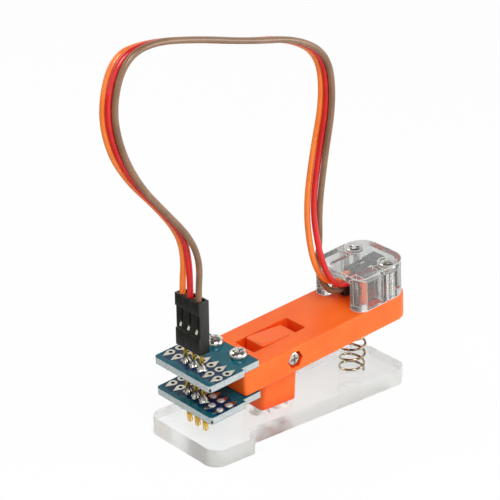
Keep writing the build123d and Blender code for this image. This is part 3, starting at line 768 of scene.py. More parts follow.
class Shaper:
    """Builds plain meshes in millimetres, each in its own frame."""

    @staticmethod
    def revolve(profile: Sequence[Pair], steps: int) -> Solid:
        """Turns a profile round the Z axis.

        Args:
            profile: Radius and height pairs. A radius of 0 closes the shape on the axis.
            steps: How many steps round the axis.

        Returns:
            The solid.
        """
        body = bmesh.new()
        rings = []
        for radius, height in profile:
            turns = [2 * math.pi * step / steps for step in range(steps if radius > 0 else 1)]
            rings.append([body.verts.new((*around(radius, turn), height)) for turn in turns])
        for lower, upper in zip(rings, rings[1:]):
            for step in range(steps):
                corners = [lower[step % len(lower)], lower[(step + 1) % len(lower)],
                           upper[(step + 1) % len(upper)], upper[step % len(upper)]]
                body.faces.new(list(dict.fromkeys(corners)))
        bmesh.ops.recalc_face_normals(body, faces=body.faces)
        return body

    @staticmethod
    def rod(radius: float, low: float, high: float, steps: int) -> Solid:
        """Makes a rod on the Z axis between two heights."""
        return Shaper.revolve(((0.0, low), (radius, low), (radius, high), (0.0, high)), steps)

    @staticmethod
    def prism(outline: Sequence[Pair], low: float, high: float) -> Solid:
        """Raises an outline between two heights.

        Args:
            outline: The outline's X and Y pairs, in order.
            low: The lower height.
            high: The upper height.

        Returns:
            The solid.
        """
        body = bmesh.new()
        floor = [body.verts.new((x, y, low)) for x, y in outline]
        roof = [body.verts.new((x, y, high)) for x, y in outline]
        body.faces.new(floor)
        body.faces.new(roof)
        for index in range(len(outline)):
            after = (index + 1) % len(outline)
            body.faces.new((floor[index], floor[after], roof[after], roof[index]))
        bmesh.ops.recalc_face_normals(body, faces=body.faces)
        return body

    @staticmethod
    def block(x: Pair, y: Pair, z: Pair) -> Solid:
        """Makes a box between two values on each axis."""
        return Shaper.prism(((x[0], y[0]), (x[1], y[0]), (x[1], y[1]), (x[0], y[1])), *z)

    @staticmethod
    def mesh(name: str, body: Solid) -> Mesh:
        """Turns a solid into mesh data.

        Args:
            name: The mesh's name.
            body: The solid, which is used up.

        Returns:
            The mesh.
        """
        mesh = bpy.data.meshes.new(name)
        body.to_mesh(mesh)
        body.free()
        return mesh

    @staticmethod
    def join(name: str, bodies: Iterable[Solid]) -> Mesh:
        """Puts several solids into one mesh.

        Args:
            name: The mesh's name.
            bodies: The solids, which are used up.

        Returns:
            The mesh.
        """
        whole = bmesh.new()
        for index, body in enumerate(bodies):
            part = Shaper.mesh(f"{name}_{index}", body)
            whole.from_mesh(part)
            bpy.data.meshes.remove(part)
        return Shaper.mesh(name, whole)

    @staticmethod
    def coil(name: str, radius: float, wire: float, turns: int, steps: int,
             height_at: Callable[[float], float], start: float = 0.0, sides: int = 3) -> Mesh:
        """Makes a coil of round wire about the Z axis.

        Args:
            name: The mesh's name.
            radius: The coil's radius to the middle of the wire.
            wire: The wire's diameter.
            turns: How many turns it has.
            steps: How many points each turn has.
            height_at: Gives the middle line's height after so many turns.
            start: The angle that it starts at, in degrees.
            sides: The wire's roundness, as the curve's bevel resolution.

        Returns:
            The mesh.
        """
        curve = bpy.data.curves.new(name, "CURVE")
        curve.dimensions = "3D"
        curve.bevel_depth = wire / 2
        curve.bevel_resolution = sides
        curve.use_fill_caps = True
        spline = curve.splines.new("POLY")
        spline.points.add(turns * steps)
        for step, target in enumerate(spline.points):
            turn = step / steps
            target.co = (*around(radius, math.radians(start) + 2 * math.pi * turn), height_at(turn), 1.0)
        return Workshop.apply(name, curve, [])


class Workshop:
    """Runs modifiers on a throwaway object and keeps the mesh that they make."""

    @staticmethod
    def apply(name: str, data: bpy.types.ID, modifiers: Sequence[Change]) -> Mesh:
        """Evaluates data with modifiers.

        Args:
            name: The new mesh's name.
            data: The mesh or curve to start from.
            modifiers: Functions that each add a modifier to the object.

        Returns:
            The evaluated mesh.
        """
        holder = add_object(f"{name}_draft", data)
        for add in modifiers:
            add(holder)
        graph = bpy.context.evaluated_depsgraph_get()
        mesh = bpy.data.meshes.new_from_object(holder.evaluated_get(graph))
        mesh.name = name
        bpy.data.objects.remove(holder)
        return mesh

    @staticmethod
    def carve(name: str, body: Solid, cutters: Sequence[Solid], edge: float, segments: int = 2) -> Mesh:
        """Cuts solids out of a body and rounds its edges.

        Args:
            name: The mesh's name.
            body: The solid to cut.
            cutters: The solids to cut away.
            edge: The edge radius, 0 for none.
            segments: The steps in each rounded edge.

        Returns:
            The mesh.
        """
        knives = [add_object(f"{name}_knife_{index}", Shaper.mesh(f"{name}_knife", cutter))
                  for index, cutter in enumerate(cutters)]

        def cut_with(knife: bpy.types.Object) -> Change:
            """Gives a function that adds one cut."""
            def add(holder: bpy.types.Object) -> None:
                """Adds the cut."""
                modifier = holder.modifiers.new("Cut", "BOOLEAN")
                modifier.operation = "DIFFERENCE"
                modifier.solver = "EXACT"
                modifier.object = knife
            return add

        mesh = Workshop.apply(name, Shaper.mesh(name, body), [cut_with(knife) for knife in knives])
        for knife in knives:
            bpy.data.objects.remove(knife)
        return Workshop.round_off(name, mesh, edge, segments) if edge else mesh

    @staticmethod
    def round_off(name: str, mesh: Mesh, edge: float, segments: int, sharp_angle: float = 35.0) -> Mesh:
        """Rounds a mesh's sharp edges.

        Args:
            name: The new mesh's name.
            mesh: The mesh.
            edge: The edge radius.
            segments: The steps in each rounded edge.
            sharp_angle: Edges that turn more than this are rounded, in degrees.

        Returns:
            The rounded mesh.
        """
        def add(holder: bpy.types.Object) -> None:
            """Adds the rounding."""
            modifier = holder.modifiers.new("Round", "BEVEL")
            modifier.width = edge
            modifier.segments = segments
            modifier.limit_method = "ANGLE"
            modifier.angle_limit = math.radians(sharp_angle)
            modifier.use_clamp_overlap = True

        return Workshop.apply(name, mesh, [add])


class MeshTool:
    """A Geometry Nodes group that makes a painted mesh of another one, kept as plain mesh data."""

    def __init__(self, name: str, inputs: dict[str, str]) -> None:
        """Starts the group.

        Args:
            name: The group's name.
            inputs: The kinds of its inputs besides the mesh and the finish, by name.
        """
        self.group = Group(name, "GeometryNodeTree", {"Mesh": "Geometry", "Finish": "Material", **inputs},
                           {"Result": "Geometry"})

    def end_with(self, made: Socket) -> None:
        """Ends the group with real geometry that has the finish.

        Args:
            made: The geometry.
        """
        real = self.group.made("GeometryNodeRealizeInstances", {"Geometry": made})
        self.group.give("Result", self.group.made("GeometryNodeSetMaterial", {
            "Geometry": real, "Material": self.group.take("Finish")}))

    def run(self, name: str, mesh: Mesh, values: dict[str, object]) -> Mesh:
        """Runs the group on a mesh.

        Args:
            name: The new mesh's name.
            mesh: The mesh to start from.
            values: The group's other inputs, by name.

        Returns:
            The new mesh.
        """
        tree = self.group.tree

        def add(holder: bpy.types.Object) -> None:
            """Adds the modifier and gives it its inputs."""
            modifier = holder.modifiers.new(tree.name, "NODES")
            modifier.node_group = tree
            for item in tree.interface.items_tree:
                if item.name in values:
                    modifier[item.identifier] = values[item.name]

        return Workshop.apply(name, mesh, [add])


class Repeater(MeshTool):
    """Repeats a stamp at the points of a mesh."""

    SEED = 7

    def __init__(self) -> None:
        """Builds the group."""
        super().__init__("Repeat stamp", {"Stamp": "Object", "Unevenness": "Float", "Seed": "Int"})
        group = self.group
        stamp = group.add("GeometryNodeObjectInfo", {"Object": group.take("Stamp")})
        turn = group.add("GeometryNodeInputNamedAttribute", {"Name": "turn"}, data_type="FLOAT")
        angle = group.made("ShaderNodeCombineXYZ", {"Z": turn.outputs["Attribute"]})
        least = group.math("SUBTRACT", 1.0, group.take("Unevenness"))
        most = group.math("ADD", 1.0, group.take("Unevenness"))
        size = group.add("FunctionNodeRandomValue", {2: least, 3: most, "Seed": group.take("Seed")},
                         data_type="FLOAT")
        scale = group.made("ShaderNodeCombineXYZ", {"X": size.outputs[1], "Y": size.outputs[1], "Z": 1.0})
        self.end_with(group.made("GeometryNodeInstanceOnPoints", {
            "Points": group.take("Mesh"), "Instance": stamp.outputs["Geometry"], "Rotation": angle,
            "Scale": scale}))

    def repeat(self, name: str, stamp: Mesh, places: Sequence[Point], turns: Sequence[float],
               finish: Material, unevenness: float) -> Mesh:
        """Repeats a stamp.

        Args:
            name: The mesh's name.
            stamp: The mesh to repeat.
            places: Where each copy goes.
            turns: How far each copy is turned about Z, in radians.
            finish: The copies' material.
            unevenness: How much the copies' widths vary.

        Returns:
            The mesh of all copies.
        """
        source = bpy.data.objects.new(f"{name}_stamp", stamp)
        points = bpy.data.meshes.new(f"{name}_places")
        points.from_pydata(list(places), [], [])
        points.attributes.new("turn", "FLOAT", "POINT").data.foreach_set("value", list(turns))
        values = {"Stamp": source, "Finish": finish, "Unevenness": unevenness, "Seed": self.SEED}
        mesh = self.run(name, points, values)
        bpy.data.objects.remove(source)
        return mesh


class EdgeTracer(MeshTool):
    """Lays a fine round line along a mesh's sharp edges."""

    LEAST_ANGLE = 30.0
    SIDES = 8

    def __init__(self) -> None:
        """Builds the group."""
        super().__init__("Edge lines", {"Radius": "Float", "Least angle": "Float"})
        group = self.group
        angle = group.add("GeometryNodeInputMeshEdgeAngle").outputs["Unsigned Angle"]
        sharp = group.math("GREATER_THAN", angle, group.take("Least angle"))
        curves = group.made("GeometryNodeMeshToCurve", {"Mesh": group.take("Mesh"), "Selection": sharp})
        ring = group.add("GeometryNodeCurvePrimitiveCircle", {"Resolution": self.SIDES,
                                                              "Radius": group.take("Radius")})
        self.end_with(group.made("GeometryNodeCurveToMesh", {"Curve": curves,
                                                             "Profile Curve": ring.outputs["Curve"]}))

    def trace(self, name: str, shape: Mesh, radius: float, finish: Material) -> Mesh:
        """Makes the lines.

        Args:
            name: The mesh's name.
            shape: The mesh whose edges are followed.
            radius: The lines' radius.
            finish: Their material.

        Returns:
            The lines' mesh.
        """
        values = {"Radius": radius, "Least angle": math.radians(self.LEAST_ANGLE), "Finish": finish}
        return self.run(name, shape, values)


class Studio:
    """The shared tools that sub-assemblies build with."""

    def __init__(self) -> None:
        """Builds the palette, the repeater and the edge tracer."""
        self.palette = Palette()
        self.repeater = Repeater()
        self.tracer = EdgeTracer()

    def piece(self, name: str, mesh: Mesh, slot: Slot, replaces: Sequence[str] = (),
              matrix: Matrix | None = None, body: Body = Body.LEVER, smooth_angle: float = 32.0,
              finish: Material | None = None) -> bpy.types.Object:
        """Makes a finished piece of a mesh.

        Args:
            name: The piece's name.
            mesh: Its mesh, in its own frame.
            slot: The slot that it takes its finish from.
            replaces: The nodes that it stands for.
            matrix: The frame's matrix, the lever's if none is given.
            body: The body it rides on.
            smooth_angle: Edges sharper than this stay sharp, in degrees.
            finish: A finish other than its slot's.

        Returns:
            The piece.
        """
        mesh.transform(lever_matrix() if matrix is None else matrix)
        mesh.shade_smooth()
        mesh.set_sharp_from_angle(angle=math.radians(smooth_angle))
        mesh.materials.clear()
        mesh.materials.append(finish or self.palette.materials[slot])
        made = add_object(name, mesh)
        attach(made, body.value)
        if replaces:
            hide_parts(*replaces)
        LOG.info("%s: %d faces", name, len(mesh.polygons))
        return made

    def repeated(self, name: str, stamp: Solid | Mesh, places: Sequence[Point], turns: Sequence[float],
                 slot: Slot, replaces: Sequence[str] = (), unevenness: float = 0.0,
                 smooth_angle: float = 32.0, finish: Material | None = None) -> None:
        """Makes one piece on the lever of a stamp's copies.

        Args:
            name: The piece's name.
            stamp: The solid or mesh to repeat.
            places: Where each copy goes in the lever's frame.
            turns: How far each copy is turned about Z, in radians.
            slot: The slot that they take their finish from.
            replaces: The nodes that they stand for.
            unevenness: How much the copies' widths vary.
            smooth_angle: Edges sharper than this stay sharp, in degrees.
            finish: A finish other than their slot's.
        """
        shape = stamp if isinstance(stamp, Mesh) else Shaper.mesh(f"{name}_stamp", stamp)
        paint = finish or self.palette.materials[slot]
        mesh = self.repeater.repeat(name, shape, places, turns, paint, unevenness)
        self.piece(name, mesh, slot, replaces, smooth_angle=smooth_angle, finish=finish)


@dataclass(frozen=True)
class Lead:
    """The three wires from the front plug to the rear plugs. Points in millimetres, as in the part."""

    diameter: float = 1.34
    exit: Pair = (-28.28, 35.07)
    start: Pair = (-28.07, 30.98)
    above_plug: Pair = (-28.37, 36.67)
    lengths: Point = (0.1838, 0.1827, 0.1824)
    roundness: int = 6
    smoothness: int = 12
    route: tuple[tuple[Point, Point, Point], ...] = (
        ((-29.10, 1.30, 43.20), (-28.90, 0.00, 43.30), (-27.90, -2.30, 43.50)),
        ((-30.70, 1.30, 49.30), (-30.50, 0.00, 49.40), (-30.30, -1.70, 49.50)),
        ((-36.50, 1.50, 56.45), (-36.55, 0.10, 56.40), (-36.60, -1.30, 56.40)),
        ((-43.20, 1.45, 63.00), (-43.00, 0.10, 63.10), (-42.80, -1.25, 63.20)),
        ((-48.50, 1.20, 70.75), (-47.95, 0.10, 71.25), (-47.40, -1.05, 71.70)),
        ((-50.65, 1.10, 79.85), (-50.30, 0.00, 80.40), (-49.25, -0.90, 80.50)),
        ((-47.75, 1.35, 89.75), (-47.35, 0.15, 89.55), (-46.85, -1.05, 89.25)),
        ((-40.20, 1.50, 91.00), (-40.25, 0.15, 91.50), (-40.30, -1.20, 92.00)),
        ((-28.40, 1.40, 89.55), (-28.30, 0.10, 89.90), (-28.20, -1.20, 90.20)),
        ((-15.40, 1.40, 86.65), (-15.30, 0.10, 87.00), (-15.20, -1.20, 87.30)),
        ((-2.45, 1.45, 84.90), (-2.30, 0.10, 85.20), (-2.20, -1.25, 85.50)),
        ((6.00, 1.35, 80.00), (6.25, 0.00, 80.15), (6.50, -1.35, 80.30)),
        ((7.90, 1.35, 70.00), (8.20, 0.00, 70.00), (8.50, -1.35, 70.00)),
        ((5.50, 1.20, 57.70), (6.20, 0.00, 57.60), (6.90, -1.20, 57.50)),
        ((4.10, 0.90, 46.30), (5.00, -0.10, 46.30), (6.40, -0.75, 46.30)),
        ((5.70, 0.60, 35.80), (7.20, -0.50, 35.70), (9.20, 1.40, 36.50)),
        ((8.90, 0.80, 29.20), (9.90, -1.10, 29.00), (9.80, 2.70, 30.20)),
        ((12.90, 1.20, 26.20), (13.00, -1.27, 26.40), (12.30, 2.10, 24.65)),
    )
    ends: tuple[tuple[Point, Point], ...] = (
        ((16.68, 1.27, 26.02), (19.76, 1.27, 26.33)),
        ((16.68, -1.27, 26.02), (19.76, -1.27, 26.33)),
        ((14.75, 1.27, 23.23), (17.83, 1.27, 23.54)),
    )
    colours: tuple[tuple[str, Slot], ...] = (
        ("orange", Slot.ORANGE_WIRE), ("red", Slot.RED_WIRE), ("brown", Slot.BROWN_WIRE))

    def points(self, index: int) -> list[Point]:
        """Gives one wire's control points.

        Args:
            index: Which wire, 0 for the orange one.

        Returns:
            The points in millimetres.
        """
        y = PITCH * (1 - index)
        inside = (self.start[0], y, self.start[1])
        outside = (self.above_plug[0], y, self.above_plug[1])
        return [inside, outside, *(row[index] for row in self.route), *self.ends[index]]

    def build(self, studio: Studio) -> None:
        """Makes the three cords.

        Args:
            studio: The shared tools.
        """
        for index, (name, slot) in enumerate(self.colours):
            curve = bpy.data.curves.new(f"lead_{name}", "CURVE")
            curve.dimensions = "3D"
            curve.bevel_depth = self.diameter / 2 * MM
            curve.bevel_resolution = self.roundness
            curve.resolution_u = self.smoothness
            curve.use_fill_caps = True
            spline = curve.splines.new("NURBS")
            points = self.points(index)
            spline.points.add(len(points) - 1)
            for target, point in zip(spline.points, points):
                target.co = (*(value * MM for value in point), 1.0)
            spline.order_u = 3
            spline.use_endpoint_u = True
            curve.materials.append(studio.palette.materials[slot])
            wire = add_object(f"lead_{name}", curve)
            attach(wire, Body.LEVER.value)
            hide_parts(f"wire_{name}")
            LOG.info("lead_%s: %d points", name, len(points))


@dataclass(frozen=True)
class ReturnSpring:
    """The coil spring under the lever's rear, in the part's frame. Its ends close down on themselves."""

    x: float = 18.92
    y: float = -0.8
    bottom: float = 4.0
    height: float = 12.93
    radius: float = 2.75
    wire: float = 0.55
    turns: int = 6
    closed_turns: float = 0.65
    start_angle: float = -60.0
    end_pitch: float = 0.62
    steps: int = 32
    shortest: float = 0.54
    lean: float = 7.5

    def build(self, studio: Studio) -> None:
        """Makes the spring.

        Args:
            studio: The shared tools.
        """
        active_turns = self.turns - 2 * self.closed_turns
        climb = (self.height - self.wire - 2 * self.end_pitch * self.closed_turns) / active_turns

        def height_at(turn: float) -> float:
            """Gives the middle line's height, which climbs slowly in the closed turns."""
            active = min(max(turn - self.closed_turns, 0), active_turns)
            return self.wire / 2 + climb * active + self.end_pitch * (turn - active)

        mesh = Shaper.coil("coil_spring", self.radius, self.wire, self.turns, self.steps, height_at,
                           self.start_angle, sides=5)
        place = Matrix.Translation(Vector((self.x, self.y, self.bottom)) * MM) @ Matrix.Scale(MM, 4)
        spring = studio.piece("coil_spring", mesh, Slot.SPRING, ["return_spring"], place, Body.BASE,
                              smooth_angle=80)
        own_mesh(spring)


@dataclass(frozen=True)
class ScrewPair:
    """Two screws that go down into the lever, one on each side of its middle."""

    name: str
    node: str
    x: float
    y: float
    seat: float
    length: float
    turns: Pair


BOARD_SCREWS = ScrewPair("board_pan_screws", "board_screws", x=-12.4, y=3.81, seat=4.6, length=11.1,
                         turns=(18.0, -24.0))
COVER_SCREWS = ScrewPair("cover_pan_screws", "cover_screws", x=30.2, y=5.2, seat=9.55, length=9.6,
                         turns=(40.0, 8.0))


@dataclass(frozen=True)
class CrossHeadScrews:
    """Pan head machine screws with a tapered cross recess and a threaded shank."""

    radius: float = 1.0
    head_radius: float = 2.0
    head_height: float = 1.45
    head_foot: float = 0.08
    rim_height: float = 0.42
    crown_share: float = 0.42
    crown_rise: float = 0.02
    recess_reach: float = 1.4
    recess_width: float = 0.7
    recess_depth: float = 1.0
    recess_mouth: float = 0.72
    floor_reach_share: float = 0.45
    floor_width_share: float = 0.75
    centre_floor: Pair = (0.22, 0.1)
    clearance: float = 0.3
    thread_pitch: float = 0.4
    thread_depth: float = 0.12
    thread_start: float = 1.0
    thread_runout: float = 0.2
    tip_bevel: Pair = (0.1, 0.15)

    def stamp(self, length: float) -> Mesh:
        """Makes one screw, with its seat at height 0.

        Args:
            length: The shank's length below the seat.

        Returns:
            The mesh.
        """
        root = self.radius - self.thread_depth
        height = self.tip_bevel[1] - length
        profile = [(0.0, -length), (root - self.tip_bevel[0], -length)]
        while height < -self.thread_start - self.thread_pitch:
            profile += [(root, height), (self.radius, height + self.thread_pitch / 2)]
            height += self.thread_pitch
        profile += [(root, height), (self.radius, height + self.thread_runout), (self.radius, 0.0)]
        profile += self.head_profile()
        return Workshop.carve("screw", Shaper.revolve(profile, steps=40), self.recess(), edge=0.0)

    def head_profile(self) -> list[Pair]:
        """Gives the head's outline from its seat to its crown.

        Returns:
            Radius and height pairs.
        """
        crown = self.head_radius * self.crown_share
        outline = [(self.head_radius - self.head_foot, 0.0), (self.head_radius, self.head_foot),
                   (self.head_radius, self.rim_height)]
        steps = 8
        for step in range(1, steps + 1):
            angle = math.pi / 2 * step / steps
            outline.append((crown + (self.head_radius - crown) * math.cos(angle),
                            self.rim_height + (self.head_height - self.rim_height) * math.sin(angle)))
        return [*outline, (0.0, self.head_height + self.crown_rise)]

    def recess(self) -> list[Solid]:
        """Makes the cross recess's cutters, which taper downwards.

        Returns:
            One tapered bar for each arm pair and a cone between them.
        """
        top = self.head_height + self.clearance
        floor = self.head_height - self.recess_depth
        cutters = []
        for turned in (False, True):
            bar = Shaper.block((-self.recess_reach, self.recess_reach),
                               (-self.recess_width / 2, self.recess_width / 2), (floor, top))
            for vertex in bar.verts:
                if vertex.co.z < self.head_height:
                    vertex.co.x *= self.floor_reach_share
                    vertex.co.y *= self.floor_width_share
                if turned:
                    vertex.co.x, vertex.co.y = -vertex.co.y, vertex.co.x
            cutters.append(bar)
        radius, drop = self.centre_floor
        cone = [(0.0, floor - drop), (radius, floor), (self.recess_mouth, top), (0.0, top)]
        return [*cutters, Shaper.revolve(cone, steps=12)]

    def build(self, studio: Studio, pair: ScrewPair) -> None:
        """Makes a pair of screws.

        Args:
            studio: The shared tools.
            pair: Their places and lengths.
        """
        places = [(pair.x, side * pair.y, pair.seat) for side in (1, -1)]
        turns = [math.radians(turn) for turn in pair.turns]
        studio.repeated(pair.name, self.stamp(pair.length), places, turns, Slot.STEEL, [pair.node])


@dataclass(frozen=True)
class Boards:
    """The pads, eyelets and solder joints of the two boards, in the lever's frame."""

    front_row: float = -21.3
    rear_row: float = -18.76
    columns: int = 7
    probe_columns: tuple[int, ...] = (2, 3, 4)
    tops: tuple[tuple[str, float], ...] = (("upper", 4.6), ("lower", -3.0))
    bottoms: tuple[tuple[str, float], ...] = (("upper", 3.0), ("lower", -4.6))
    pad_radius: float = 0.98
    pad_height: float = 0.05
    tail_length: float = 2.15
    eyelet_radius: float = 0.47
    eyelet_depth: float = 0.1
    ring_depth: float = 0.5
    ring_bevel: float = 0.02
    well_radius: float = 0.48
    well_wall: float = 0.08
    well_span: Pair = (-1.5, -0.04)
    well_bevel: float = 0.08
    neck_radius: float = 0.53
    solder_radius: float = 1.15
    solder_height: float = 1.5
    solder_foot: float = 0.05
    solder_hollow: float = 2.6
    solder_turns: Point = (0.4, 2.1, 3.9)
    lobe: float = 0.16
    lobe_count: int = 4
    lobe_turn: float = 0.6
    lobe_start: float = 0.56
    filled_rear: tuple[int, ...] = (0, 1, 2)
    filled_front: tuple[int, ...] = (0, 1)
    filled_turn: float = 0.7
    dome: tuple[Pair, ...] = ((0.72, 0.0), (0.72, 0.06), (0.66, 0.13), (0.5, 0.2), (0.26, 0.25), (0.0, 0.26))

    def column_y(self, column: int) -> float:
        """Gives a column's place across the board, the near side's first."""
        return PITCH * (column - (self.columns - 1) / 2)

    def row(self, x: float, columns: Iterable[int], height: float) -> list[Point]:
        """Gives the places of some columns of one row."""
        return [(x, self.column_y(column), height) for column in columns]

    def teardrop(self) -> Solid:
        """Makes a pad with a pointed tail along +X and a plated hole.

        Returns:
            The pad on height 0, with its eyelet below.
        """
        steps = 32
        tangent = math.acos(self.pad_radius / self.tail_length)
        sweep = 2 * math.pi - 2 * tangent
        outer = [around(self.pad_radius, tangent + sweep * step / steps) for step in range(steps + 1)]
        outer.append((self.tail_length, 0.0))
        inner = [around(self.eyelet_radius, math.atan2(y, x)) for x, y in outer]
        pad = bmesh.new()
        rings = [[pad.verts.new((x, y, height)) for x, y in outline]
                 for outline, height in ((outer, 0.0), (outer, self.pad_height), (inner, self.pad_height),
                                         (inner, -self.eyelet_depth))]
        for lower, upper in zip(rings, rings[1:]):
            for index in range(len(outer)):
                after = (index + 1) % len(outer)
                pad.faces.new((lower[index], lower[after], upper[after], upper[index]))
        bmesh.ops.recalc_face_normals(pad, faces=pad.faces)
        return pad

    def hole_shade(self) -> Solid:
        """Makes a dark sleeve inside an open hole, painted shade for the hole's dark inside.

        Returns:
            The wall below height 0.
        """
        outer = self.well_radius
        inner = outer - self.well_wall
        low, high = self.well_span
        return Shaper.revolve([(outer, high), (outer, low), (inner, low), (inner, high - self.well_bevel),
                               (outer, high)], steps=24)

    def ring(self) -> Solid:
        """Makes the round pad on a board's underside.

        Returns:
            The pad below height 0, with its eyelet above.
        """
        hole = self.eyelet_radius
        return Shaper.revolve([(hole, self.ring_depth), (hole, -self.pad_height),
                               (self.pad_radius, -self.pad_height), (self.pad_radius, 0.0),
                               (hole + self.ring_bevel, 0.0)], steps=28)

    def open_places(self, height: float) -> tuple[list[Point], list[float]]:
        """Gives the places of the pads that hold no probe.

        Args:
            height: The surface's height.

        Returns:
            The places and how far each tail is turned.
        """
        places = []
        turns = []
        for column in range(self.columns):
            places += self.row(self.rear_row, [column], height)
            turns.append(0.0)
            if column not in self.probe_columns:
                places += self.row(self.front_row, [column], height)
                turns.append(math.pi)
        return places, turns

    def build_pads(self, studio: Studio) -> None:
        """Makes the tinned pads on the boards' upper faces, the rings below, and black sleeves of painted
        shade in the open holes.

        Args:
            studio: The shared tools.
        """
        for board, height in self.tops:
            places = self.open_places(height)
            studio.repeated(f"{board}_pads", self.teardrop(), *places, Slot.TIN, unevenness=0.03)
            # The black sleeves in the open holes are painted shade.
            studio.repeated(f"{board}_hole_walls", self.hole_shade(), *places, Slot.BLACK)
        for board, height in self.bottoms:
            studio.repeated(f"{board}_rings", self.ring(), *self.open_places(height), Slot.TIN)

    def solder_cone(self) -> Solid:
        """Makes one solder joint that creeps up a probe.

        Returns:
            The joint on height 0.
        """
        spread = self.solder_radius - self.neck_radius
        climb = self.solder_height - self.solder_foot
        profile = [(self.neck_radius, 0.0), (self.solder_radius, 0.0), (self.solder_radius, self.solder_foot)]
        rings = 10
        for ring in range(1, rings + 1):
            share = ring / rings
            profile.append((self.neck_radius + spread * (1 - share) ** self.solder_hollow,
                            self.solder_foot + climb * share))
        joint = Shaper.revolve(profile, steps=32)
        for vertex in joint.verts:
            angle = math.atan2(vertex.co.y, vertex.co.x)
            outside = Vector((vertex.co.x, vertex.co.y)).length > self.lobe_start
            swell = 1 + self.lobe * math.cos(self.lobe_count * angle + self.lobe_turn) * outside
            vertex.co.x *= swell
            vertex.co.y *= swell
        return joint

    def build_solder(self, studio: Studio) -> None:
        """Makes the solder joints on both boards, and the filled pads of the lower one.

        Args:
            studio: The shared tools.
        """
        for board, height in self.tops:
            places = self.row(self.front_row, self.probe_columns, height)
            studio.repeated(f"{board}_joints", self.solder_cone(), places, self.solder_turns, Slot.SOLDER,
                            [f"{board}_solder"], unevenness=0.04, smooth_angle=60)
        lower_top = self.tops[1][1]
        places = self.row(self.rear_row, self.filled_rear, lower_top)
        places += self.row(self.front_row, self.filled_front, lower_top)
        turns = [self.filled_turn * index for index in range(len(places))]
        studio.repeated("filled_pads", Shaper.revolve(self.dome, steps=24), places, turns, Slot.TIN,
                        unevenness=0.06, smooth_angle=60, finish=studio.palette.dull_zinc)


